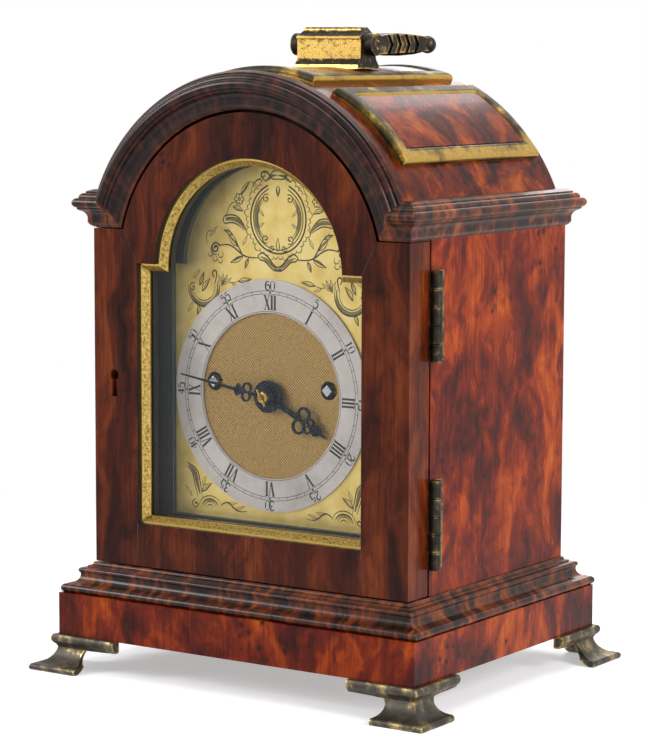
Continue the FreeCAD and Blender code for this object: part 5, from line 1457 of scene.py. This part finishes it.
DIGITS: dict[str, tuple[Stroke, ...]] = {
    "0": (
        Stroke(
            (
                (0.62, 0.5),
                (0.58, 0.96),
                (0.32, 1.08),
                (0.06, 0.96),
                (0.02, 0.5),
                (0.06, 0.04),
                (0.32, -0.08),
                (0.58, 0.04),
            ),
            (STEM, HAIR, HAIR, HAIR, STEM, HAIR, HAIR, HAIR),
            closed=True,
        ),
    ),
    "1": (
        Stroke(((0.32, 0.0), (0.32, 1.0)), (STEM,)),
        Stroke(((0.12, 0.8), (0.32, 0.98)), (HAIR,)),
    ),
    "2": (
        Stroke(((0.06, 0.74), (0.1, 1.08), (0.6, 1.1), (0.6, 0.6), (0.26, 0.4), (0.04, 0.04)), (HAIR, STEM, HAIR)),
        Stroke(((0.04, 0.05), (0.34, 0.12), (0.62, 0.02), (0.64, 0.2)), (HAIR, STEM, HAIR)),
    ),
    "3": (
        Stroke(((0.08, 0.84), (0.2, 1.1), (0.6, 1.04), (0.56, 0.58), (0.24, 0.54)), (HAIR, STEM, HAIR)),
        Stroke(((0.24, 0.54), (0.68, 0.56), (0.68, -0.06), (0.22, -0.1), (0.04, 0.16)), (HAIR, STEM, HAIR)),
    ),
    "4": (
        Stroke(((0.46, 0.0), (0.46, 1.0)), (STEM,)),
        Stroke(((0.46, 1.0), (0.02, 0.32)), (HAIR,)),
        Stroke(((0.02, 0.32), (0.66, 0.32)), (HAIR,)),
    ),
    "5": (
        Stroke(((0.14, 0.97), (0.36, 0.93), (0.58, 1.02)), (STEM * 0.8, HAIR)),
        Stroke(((0.14, 0.98), (0.11, 0.54)), (HAIR,)),
        Stroke(
            ((0.11, 0.54), (0.34, 0.74), (0.68, 0.56), (0.66, -0.06), (0.22, -0.1), (0.04, 0.14)),
            (HAIR, STEM, HAIR),
        ),
    ),
    "6": (
        Stroke(
            (
                (0.54, 0.94),
                (0.3, 1.12),
                (0.04, 0.78),
                (0.0, 0.14),
                (0.3, -0.12),
                (0.66, 0.06),
                (0.6, 0.56),
                (0.28, 0.66),
                (0.08, 0.42),
            ),
            (HAIR, STEM, STEM, HAIR, STEM, HAIR),
        ),
    ),
}


@dataclass(frozen=True)
class DialOrnament:
    """The engraving on the brass plate: bare cartouche, sprays in the arch and scrolls in the corners."""

    line_mm: float = 0.7
    bold_mm: float = 1.1
    cartouche: Point = (4.4, 247.0)
    cartouche_radii: Point = (17.6, 18.4)
    mirror_top_mm: float = 4.2
    mirror_corner_mm: float = 3.2

    def build(self) -> None:
        """Engraves the plate."""
        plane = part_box("dial_plate")[0].y * PER_METRE
        lines = Graver("dial_engraving", plane, 0.045)
        shades = Graver("dial_shading", plane, 0.025)
        self.border(lines)
        for mirror in (None, self.mirror_top_mm):
            lines.mirror_x = mirror
            shades.mirror_x = mirror
            self.cartouche_side(lines, shades)
            self.spray(lines, shades)
        for mirror in (None, self.mirror_corner_mm):
            lines.mirror_x = mirror
            shades.mirror_x = mirror
            self.upper_corner(lines, shades)
            self.lower_corner(lines, shades)
        lines.piece(ENGRAVING, "case")
        shades.piece(SHADING, "case")

    def border(self, lines: Graver) -> None:
        """Cuts the cartouche's oval frame and its scalloped border.

        Args:
            lines: the set of wax-filled lines.
        """
        x, z = self.cartouche
        wide, high = self.cartouche_radii
        for inset, width in ((0.0, self.bold_mm), (1.9, self.line_mm)):
            lines.arc((x, z), (wide - inset, high - inset), 112, 428, (width,), 33)
        scallops = 34
        for index in range(scallops):
            angle = 118 + (422 - 118) * index / (scallops - 1)
            reach = math.radians(angle)
            swell = 1.5 if index % 3 else 2.1
            at = (x + (wide + swell) * math.cos(reach), z + (high + swell) * math.sin(reach))
            lines.arc(at, (swell, swell), angle - 100, angle + 100, (0.25, self.line_mm, 0.25), 5)

    def cartouche_side(self, lines: Graver, shades: Graver) -> None:
        """Cuts one side of the cartouche: inner scroll band, crest, foot ribbon and pointed drops.

        Args:
            lines: the set of wax-filled lines.
            shades: the set of hatched shades.
        """
        x, z = self.cartouche
        shades.arc((x, z), (14.2, 15.2), 128, 232, (0.3, 2.3, 2.3, 0.3), 13)
        lines.arc((x, z), (13.0, 14.0), 130, 230, (0.3, self.line_mm, 0.3), 13)
        lines.volute((-3.2, 257.2), 2.6, 60, 1.2, self.line_mm)
        lines.volute((-3.6, 236.2), 2.6, -60, -1.2, self.line_mm)
        lines.volute((0.2, 231.6), 2.0, 200, 1.1, self.line_mm)
        lines.leaf((-8.2, 252.0), (-4.6, 247.8), 1.3, 0.34)
        lines.leaf((-8.2, 242.0), (-4.4, 244.6), 1.3, 0.34)
        lines.cut(((4.3, 258.0), (2.0, 262.6), (4.3, 264.0)), (0.3, self.bold_mm, 0.3))
        lines.cut(((4.3, 237.0), (2.2, 231.6), (4.3, 229.8)), (0.3, self.bold_mm, 0.3))
        shades.cut(((4.3, 259.0), (3.2, 262.0)), (0.3, 1.3))
        crest = (
            (4.2, 267.6),
            (1.2, 267.0),
            (-1.0, 269.0),
            (-2.6, 271.6),
            (-6.2, 271.0),
            (-6.8, 268.2),
            (-4.8, 267.6),
        )
        lines.cut(crest, (self.line_mm, self.bold_mm, self.line_mm))
        shades.cut(((4.0, 269.4), (0.6, 269.6), (-1.8, 267.2), (-4.6, 266.0)), (0.4, 1.9, 1.9, 0.3))
        lines.volute((-5.0, 269.2), 2.0, 20, 1.1, self.line_mm)
        lines.cut(((4.2, 271.6), (1.8, 272.0), (0.0, 270.4), (-1.4, 268.4)), (0.3, self.bold_mm, 0.3))
        lines.cut(
            ((-6.6, 267.4), (-9.4, 266.8), (-11.6, 264.0), (-13.2, 260.6)), (self.bold_mm, self.line_mm, 0.3)
        )
        lines.leaf((-9.2, 262.6), (-12.6, 266.0), 1.6, 0.34)
        ribbon = ((-8.6, 227.0), (-6.2, 229.4), (-2.0, 226.8), (1.4, 222.4), (5.0, 221.0), (7.2, 223.0))
        lines.cut(ribbon, (self.line_mm, self.bold_mm, self.line_mm))
        lower = ((-8.6, 227.0), (-7.6, 224.6), (-4.4, 225.0), (-1.0, 221.6), (3.2, 218.8), (6.6, 220.4))
        lines.cut(lower, (self.line_mm, self.bold_mm, self.line_mm))
        shades.cut(((-7.0, 226.6), (-3.4, 226.0), (0.6, 221.8), (4.6, 220.0)), (0.5, 1.7, 1.7, 0.6))

    def spray(self, lines: Graver, shades: Graver) -> None:
        """Cuts one spray of the arch: stems, leaves, a shaded scroll, a flower and the end volute.

        Args:
            lines: the set of wax-filled lines.
            shades: the set of hatched shades.
        """
        line, bold = self.line_mm, self.bold_mm
        lines.flower((-20.6, 256.4), 2.9, 6, line)
        lines.leaf((-19.6, 258.4), (-13.4, 266.0), 1.8, line, 0.6)
        lines.leaf((-24.6, 252.2), (-18.0, 250.0), 2.2, line, 0.5)
        lines.cut(((-29.0, 246.6), (-28.0, 251.6), (-24.0, 255.2), (-21.4, 254.6)), (0.3, line, 0.3))
        shades.cut(((-29.4, 245.4), (-25.0, 246.2), (-20.0, 244.6), (-16.4, 240.4)), (1.6, 2.9, 2.6, 0.5))
        lines.cut(((-30.0, 247.4), (-25.0, 248.4), (-19.4, 246.2), (-15.8, 240.2)), (line, bold, 0.3))
        lines.cut(((-29.4, 243.2), (-25.2, 244.2), (-21.2, 242.8), (-16.4, 239.8)), (line, bold, 0.3))
        lines.arc((-29.2, 245.2), (1.9, 2.2), 80, 290, (line,), 7)
        stem = ((-7.8, 226.0), (-13.0, 225.6), (-18.4, 226.8), (-24.0, 231.0), (-29.0, 232.6), (-34.0, 231.2))
        lines.cut(stem, (line, bold, line))
        lines.cut(((-18.6, 227.0), (-21.6, 232.0), (-23.6, 236.8), (-28.4, 240.6)), (bold, line, 0.3))
        lines.leaf((-21.4, 231.2), (-27.6, 237.4), 2.1, line, 0.5)
        lines.leaf((-24.6, 237.2), (-30.6, 239.8), 1.7, line)
        lines.leaf((-18.4, 232.0), (-15.2, 237.8), 1.5, 0.34)
        lines.leaf((-18.0, 226.6), (-26.4, 222.6), 2.2, line, 0.4)
        shades.cut(((-19.6, 226.0), (-23.0, 224.6), (-25.2, 223.2)), (0.4, 1.7, 0.3))
        lines.leaf((-14.6, 225.4), (-17.0, 219.8), 1.6, line)
        lines.volute((-36.0, 230.0), 3.2, 30, 1.5, bold)
        shades.arc((-36.0, 229.6), (3.0, 3.2), 150, 300, (0.3, 1.6, 0.3), 9)
        for at, size in (
            ((-32.6, 226.6), 1.7), ((-33.0, 223.6), 1.5), ((-36.4, 224.4), 1.6), ((-39.4, 226.8), 1.5)
        ):
            lines.arc(at, (size, size), 150, 420, (0.25, line, 0.25), 7)
        lines.cut(((-41.4, 232.4), (-42.6, 236.4), (-39.8, 240.0), (-36.4, 238.2)), (0.3, line, 0.3))
        lines.leaf((-39.8, 236.0), (-35.0, 241.6), 1.7, 0.34)

    def upper_corner(self, lines: Graver, shades: Graver) -> None:
        """Cuts an upper corner: an acanthus scroll, a half flower and trailing leaves.

        Args:
            lines: the set of wax-filled lines.
            shades: the set of hatched shades.
        """
        line, bold = self.line_mm, self.bold_mm
        shades.arc((-43.8, 209.0), (9.2, 9.4), 178, 378, (0.4, 2.4, 2.8, 0.6), 15)
        lines.arc((-43.8, 209.0), (10.4, 10.6), 176, 384, (0.3, bold, bold, 0.3), 15)
        lines.arc((-44.0, 209.4), (7.6, 7.8), 186, 376, (0.3, line, 0.3), 15)
        lines.cut(
            ((-36.6, 211.0), (-34.6, 216.6), (-36.8, 218.6), (-38.6, 216.2), (-36.8, 214.4)),
            (line, bold, line),
        )
        lines.leaf((-44.8, 206.4), (-39.8, 213.4), 2.4, line, 0.6)
        lines.leaf((-46.6, 209.4), (-43.6, 217.0), 1.9, line)
        lines.leaf((-50.6, 213.4), (-46.0, 218.4), 1.8, 0.34)
        lines.volute((-51.0, 208.4), 2.6, 60, 1.2, line)
        for turn in (35, 65, 95, 125):
            angle = math.radians(turn)
            tip = (-30.6 + 6.2 * math.cos(angle), 211.4 + 5.6 * math.sin(angle))
            lines.leaf((-31.6, 210.4), tip, 1.5, 0.36)
        shades.cut(((-32.4, 209.6), (-31.4, 212.6), (-29.8, 214.2)), (0.5, 2.2, 0.5))
        lines.cut(((-27.0, 212.2), (-23.6, 211.4), (-20.6, 213.6)), (line, 0.3))
        lines.leaf((-21.4, 212.8), (-12.6, 214.4), 2.1, line, 0.3)
        lines.leaf((-25.2, 211.4), (-20.4, 209.8), 1.4, 0.34)
        lines.leaf((-46.0, 199.6), (-48.2, 193.6), 1.9, line)
        lines.leaf((-50.8, 200.6), (-54.4, 194.8), 1.8, 0.34)

    def lower_corner(self, lines: Graver, shades: Graver) -> None:
        """Cuts a lower corner: a leaning scroll, a ribbed shell, leaves and a long tail.

        Args:
            lines: the set of wax-filled lines.
            shades: the set of hatched shades.
        """
        line, bold = self.line_mm, self.bold_mm
        shades.cut(((-54.6, 112.6), (-50.0, 110.0), (-48.4, 103.0), (-46.6, 97.0)), (0.4, 2.8, 2.6, 0.8))
        lines.cut(((-55.4, 113.6), (-48.6, 111.6), (-46.4, 103.6), (-45.0, 95.4)), (line, bold, 0.3))
        lines.cut(((-55.0, 111.6), (-51.6, 109.4), (-50.4, 102.8), (-47.8, 95.4)), (line, bold, 0.3))
        lines.leaf((-45.6, 98.4), (-38.8, 103.4), 2.3, line, 0.5)
        lines.leaf((-44.8, 101.8), (-42.6, 107.6), 1.7, 0.34)
        for reach in (6.6, 5.0, 3.4, 1.8):
            lines.arc((-39.8, 90.2), (reach * 1.15, reach), 8, 176, (0.3, line, 0.3), 9)
        shades.arc((-39.8, 90.2), (5.2, 4.4), 20, 165, (0.3, 1.3, 0.3), 9)
        lines.cut(
            ((-32.4, 92.4), (-28.6, 95.4), (-24.6, 91.6), (-20.4, 89.4), (-15.4, 90.6)), (line, bold, 0.3)
        )
        lines.leaf((-28.4, 93.6), (-22.2, 94.2), 1.5, 0.34)
        lines.leaf((-23.6, 90.8), (-17.0, 93.0), 1.4, 0.34)
        lines.volute((-49.4, 91.4), 2.7, 100, 1.2, line)
        lines.leaf((-51.8, 95.4), (-56.6, 101.2), 1.8, 0.34)


# ---------------------------------------------------------------- case fittings


def bevelled_block(sides_mm: tuple[float, float, float], edge_mm: float, segments: int) -> bmesh.types.BMesh:
    """Makes a block about the origin with bevelled edges.

    Args:
        sides_mm: its width, depth and height.
        edge_mm: how far the bevel reaches from each edge.
        segments: how many faces the bevel has.

    Returns:
        The block's mesh, in metres.
    """
    shape = bmesh.new()
    bmesh.ops.create_cube(shape, size=MM)
    bmesh.ops.scale(shape, vec=sides_mm, verts=shape.verts)
    bmesh.ops.bevel(
        shape,
        geom=shape.edges[:],
        offset=edge_mm * MM,
        offset_type="OFFSET",
        affect="EDGES",
        segments=segments,
        profile=0.5,
        material=-1,
    )
    return shape


@dataclass(frozen=True)
class BreakArch:
    """An upright break-arch outline: square to the shoulders and round above them."""

    half_mm: float
    low_mm: float
    shoulder_mm: float
    radius_mm: float
    centre_z_mm: float

    def path(self, steps: int = 40) -> list[Point]:
        """Gives the closed outline from the lower left corner.

        Args:
            steps: how many runs the arch gets.

        Returns:
            Points across and up, in millimetres.
        """
        rise = math.degrees(math.asin((self.shoulder_mm - self.centre_z_mm) / self.radius_mm))
        points = [(-self.half_mm, self.low_mm), (self.half_mm, self.low_mm), (self.half_mm, self.shoulder_mm)]
        for step in range(steps + 1):
            angle = math.radians(rise + (180 - 2 * rise) * step / steps)
            points.append(
                (self.radius_mm * math.cos(angle), self.centre_z_mm + self.radius_mm * math.sin(angle))
            )
        points.append((-self.half_mm, self.shoulder_mm))
        return points


@dataclass(frozen=True)
class DoorDetail:
    """What the door shows close up: black lining in the reveal, veneer joints and a painted highlight along the
    mask's edge.
    """

    reveal: BreakArch = BreakArch(71.42, 81.78, 221.62, 59.52, 219.3)
    mask_edge: BreakArch = BreakArch(62.7, 85.8, 220.9, 55.2, 219.9)
    reveal_mm: float = 2.2
    film_mm: float = 0.06
    joint_mm: float = 0.42
    rail_high_mm: float = 81.7
    rail_low_mm: float = 58.9
    stile_mm: float = 71.5
    mitre: tuple[Point, Point] = ((71.5, 221.9), (80.2, 239.2))
    set_back_mm: float = 0.25
    highlight_line_mm: float = 0.45

    def build(self) -> None:
        """Adds the lining, the joints and the painted highlight along the mask's edge."""
        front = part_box("door_frame")[0].y * PER_METRE
        self.lining(front)
        joints = Graver("door_joints", front, 0.04)
        for side in (None, 0.0):
            joints.mirror_x = side
            joints.cut(
                ((self.stile_mm, self.rail_low_mm), (self.stile_mm, self.rail_high_mm)),
                (self.joint_mm,),
                order=2,
            )
            joints.cut(self.mitre, (self.joint_mm, self.joint_mm * 0.7), order=2)
        joints.piece(JOINT_SHADOW, "front_door")
        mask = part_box("dial_mask")[0].y * PER_METRE
        # Painted highlight: a thin grey line drawn along the mask's opening edge.
        edge = Graver("mask_edge_highlight", mask, 0.03)
        edge.cut(self.mask_edge.path(), (self.highlight_line_mm,), closed=True, order=2)
        edge.piece(PAINTED_EDGE_HIGHLIGHT, "case")

    def lining(self, front_mm: float) -> None:
        """Lines the reveal in front of the sight frame with black.

        Args:
            front_mm: where the door's front face stands.
        """
        curve = bpy.data.curves.new("reveal_lining", "CURVE")
        curve.dimensions = "2D"
        curve.fill_mode = "NONE"
        curve.extrude = self.reveal_mm / 2 * MM
        curve.bevel_depth = self.film_mm / 2 * MM
        path = self.reveal.path()
        spline = curve.splines.new("POLY")
        spline.points.add(len(path) - 1)
        for point, (across, up) in zip(spline.points, path):
            point.co = (across * MM, up * MM, 0.0, 1.0)
        spline.use_cyclic_u = True
        shape = mesh_of(curve)
        upright = Matrix.Rotation(math.radians(90), 3, "X")
        bmesh.ops.rotate(shape, cent=(0.0, 0.0, 0.0), matrix=upright, verts=shape.verts)
        middle = front_mm + self.set_back_mm + self.reveal_mm / 2
        bmesh.ops.translate(shape, vec=(0.0, middle * MM, 0.0), verts=shape.verts)
        finished_piece("reveal_lining", shape, JOINT_SHADOW, "front_door", smooth=False)


@dataclass(frozen=True)
class WindingSquares:
    """The polished steel squares that the key fits, set on their corners in the winding holes."""

    across_mm: float = 36.5
    up_mm: float = 158.9
    side_mm: float = 4.5
    long_mm: float = 4.0
    chamfer_mm: float = 0.5
    proud_mm: float = 0.15

    def build(self) -> None:
        """Adds one square to each fusee arbor."""
        for body, across in (("going_fusee", self.across_mm), ("strike_fusee", -self.across_mm)):
            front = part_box(body)[0].y * PER_METRE - self.proud_mm
            shape = bevelled_block((self.side_mm, self.long_mm, self.side_mm), self.chamfer_mm, 2)
            bmesh.ops.rotate(shape, matrix=Matrix.Rotation(math.radians(45), 3, "Y"), verts=shape.verts)
            place = Vector((across, front + self.long_mm / 2, self.up_mm)) * MM
            bmesh.ops.translate(shape, vec=place, verts=shape.verts)
            finished_piece(body + "_square", shape, BRIGHT_STEEL, body, smooth=False)


@dataclass(frozen=True)
class CorniceShadeStrip:
    """Black strips under the cornice that close the sight line above the door's shoulders: painted shade in the
    gap there.
    """

    inner_mm: float = 84.6
    outer_mm: float = 99.6
    front_mm: float = -75.5
    back_mm: float = -57.0
    low_mm: float = 239.5
    high_mm: float = 240.2
    edge_mm: float = 0.15

    def build(self) -> None:
        """Adds one strip at each shoulder."""
        for name, sign in (("right", 1), ("left", -1)):
            sides = (self.outer_mm - self.inner_mm, self.back_mm - self.front_mm, self.high_mm - self.low_mm)
            shape = bevelled_block(sides, self.edge_mm, 1)
            middle = (
                sign * (self.inner_mm + self.outer_mm) / 2,
                (self.front_mm + self.back_mm) / 2,
                (self.low_mm + self.high_mm) / 2,
            )
            bmesh.ops.translate(shape, vec=Vector(middle) * MM, verts=shape.verts)
            finished_piece(
                "cornice_shade_strip_" + name, shape, JOINT_SHADOW, "case", smooth=False
            )


# ---------------------------------------------------------------- studio


@dataclass(frozen=True)
class SoftBox:
    """A rectangular lamp: where it hangs, its size and its power."""

    name: str
    place_m: tuple[float, float, float]
    wide_m: float
    high_m: float
    watts: float


@dataclass(frozen=True)
class Studio:
    """White sweep, soft lamps and the photographer's camera."""

    azimuth_deg: float = 33.98
    elevation_deg: float = 6.89
    roll_deg: float = 0.16
    distance_mm: float = 1500.0
    target_mm: tuple[float, float, float] = (-3.14, 0.0, 157.5)
    focal_px: float = 2765.6
    picture_high_px: float = 756.0
    sensor_mm: float = 36.0
    floor_reach_m: float = 12.0
    fade_from_m: float = 0.12
    fade_to_m: float = 0.62
    near_lift: float = 0.42
    ambient: float = 0.36
    aim_m: tuple[float, float, float] = (0.0, 0.0, 0.16)
    soft_boxes: tuple[SoftBox, ...] = (
        SoftBox("key_box", (-1.7, -1.5, 1.2), 0.7, 1.1, 36.0),
        SoftBox("side_box", (2.1, -0.3, 1.0), 0.9, 1.5, 42.0),
        SoftBox("top_box", (0.1, 0.4, 1.9), 1.4, 1.2, 16.0),
        SoftBox("back_box", (-0.9, 1.9, 1.1), 1.2, 1.2, 12.0),
    )

    def build(self) -> None:
        """Sets up the camera, the lamps, the floor and the world."""
        self.camera()
        self.lamps()
        self.floor()
        self.world()
        bpy.context.scene.view_settings.view_transform = "Standard"

    def camera(self) -> None:
        """Places the camera where the photograph was taken from."""
        azimuth, elevation = math.radians(self.azimuth_deg), math.radians(self.elevation_deg)
        back = Vector(
            (
                math.sin(azimuth) * math.cos(elevation),
                -math.cos(azimuth) * math.cos(elevation),
                math.sin(elevation),
            )
        )
        right = (-back).cross(Vector((0, 0, 1))).normalized()
        up = right.cross(-back)
        roll = math.radians(self.roll_deg)
        tilted_right = right * math.cos(roll) + up * math.sin(roll)
        tilted_up = up * math.cos(roll) - right * math.sin(roll)
        place = (Vector(self.target_mm) + back * self.distance_mm) * MM
        matrix = Matrix((tilted_right, tilted_up, back)).transposed().to_4x4()
        matrix.translation = place
        data = bpy.data.cameras.new("photo_camera")
        data.sensor_width = self.sensor_mm
        data.lens = self.focal_px / self.picture_high_px * self.sensor_mm
        camera = bpy.data.objects.new("photo_camera", data)
        camera.matrix_world = matrix
        bpy.context.scene.collection.objects.link(camera)
        bpy.context.scene.camera = camera

    def lamps(self) -> None:
        """Hangs the soft boxes."""
        for box in self.soft_boxes:
            data = bpy.data.lights.new(box.name, "AREA")
            data.shape = "RECTANGLE"
            data.size = box.wide_m
            data.size_y = box.high_m
            data.energy = box.watts
            lamp = bpy.data.objects.new(box.name, data)
            lamp.location = box.place_m
            towards = Vector(self.aim_m) - Vector(box.place_m)
            lamp.rotation_euler = towards.to_track_quat("-Z", "Y").to_euler()
            bpy.context.scene.collection.objects.link(lamp)

    def seen_directly(self, tree: bpy.types.NodeTree) -> bpy.types.NodeSocket:
        """Tells the rays that show the background: camera, gloss and glass.

        Args:
            tree: the node tree that asks.

        Returns:
            A value that is 1 for such a ray.
        """
        path = add_node(tree, "ShaderNodeLightPath")
        either = add_node(
            tree,
            "ShaderNodeMath",
            {"operation": "MAXIMUM"},
            {0: path.outputs["Is Camera Ray"], 1: path.outputs["Is Glossy Ray"]},
        )
        any_of = add_node(
            tree,
            "ShaderNodeMath",
            {"operation": "MAXIMUM"},
            {0: either.outputs[0], 1: path.outputs["Is Transmission Ray"]},
        )
        return any_of.outputs[0]

    def floor(self) -> None:
        """Lays the pale floor, lifted to white where the clock throws no shadow."""
        shape = bmesh.new()
        bmesh.ops.create_circle(shape, cap_ends=True, segments=64, radius=self.floor_reach_m)
        mesh = bpy.data.meshes.new("studio_floor")
        shape.to_mesh(mesh)
        shape.free()
        material = bpy.data.materials.new("studio_floor")
        material.use_nodes = True
        tree = material.node_tree
        tree.nodes.clear()
        where = add_node(tree, "ShaderNodeTexCoord")
        reach = add_node(
            tree, "ShaderNodeVectorMath", {"operation": "LENGTH"}, {0: where.outputs["Object"]}
        )
        far = add_node(
            tree,
            "ShaderNodeMapRange",
            {"interpolation_type": "SMOOTHSTEP", "From Min": self.fade_from_m, "From Max": self.fade_to_m},
            {"Value": reach.outputs["Value"]},
        )
        seen = self.seen_directly(tree)
        faded = add_node(tree, "ShaderNodeMath", {"operation": "MULTIPLY"}, {0: far.outputs[0], 1: seen})
        tone = add_node(
            tree,
            "ShaderNodeMixRGB",
            {"Color1": linear("#E6E7EA"), "Color2": linear("#000000")},
            {"Fac": faded.outputs[0]},
        )
        paper = add_node(tree, "ShaderNodeBsdfDiffuse", {}, {"Color": tone.outputs[0]})
        glow = add_node(tree, "ShaderNodeEmission", {"Color": linear("#FFFFFF")})
        rise = add_node(
            tree, "ShaderNodeMapRange", {"To Min": self.near_lift, "To Max": 1.0}, {"Value": far.outputs[0]}
        )
        lift = add_node(tree, "ShaderNodeMath", {"operation": "MULTIPLY"}, {0: rise.outputs[0], 1: seen})
        tree.links.new(lift.outputs[0], glow.inputs["Strength"])
        both = add_node(tree, "ShaderNodeAddShader", {}, {0: paper.outputs[0], 1: glow.outputs[0]})
        add_node(tree, "ShaderNodeOutputMaterial", links={"Surface": both.outputs[0]})
        mesh.materials.append(material)
        obj = bpy.data.objects.new("studio_floor", mesh)
        bpy.context.scene.collection.objects.link(obj)

    def world(self) -> None:
        """Fills the studio with soft light and shows white behind the clock."""
        world = bpy.data.worlds.new("studio")
        world.use_nodes = True
        tree = world.node_tree
        tree.nodes.clear()
        soft = add_node(tree, "ShaderNodeBackground", {"Color": linear("#F6F6F6"), "Strength": self.ambient})
        white = add_node(tree, "ShaderNodeBackground", {"Color": linear("#FFFFFF"), "Strength": 1.0})
        shown = add_node(
            tree,
            "ShaderNodeMixShader",
            {},
            {0: self.seen_directly(tree), 1: soft.outputs[0], 2: white.outputs[0]},
        )
        add_node(tree, "ShaderNodeOutputWorld", links={"Surface": shown.outputs[0]})
        bpy.context.scene.world = world


def main() -> None:
    """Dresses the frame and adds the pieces."""
    logging.basicConfig(level=logging.INFO)
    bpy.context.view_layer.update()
    Studio().build()
    for node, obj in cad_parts.items():
        PALETTE.dress(node, obj)
    ChapterRing().build()
    DialOrnament().build()
    DoorDetail().build()
    WindingSquares().build()
    CorniceShadeStrip().build()


if __name__ == "__main__":
    main()
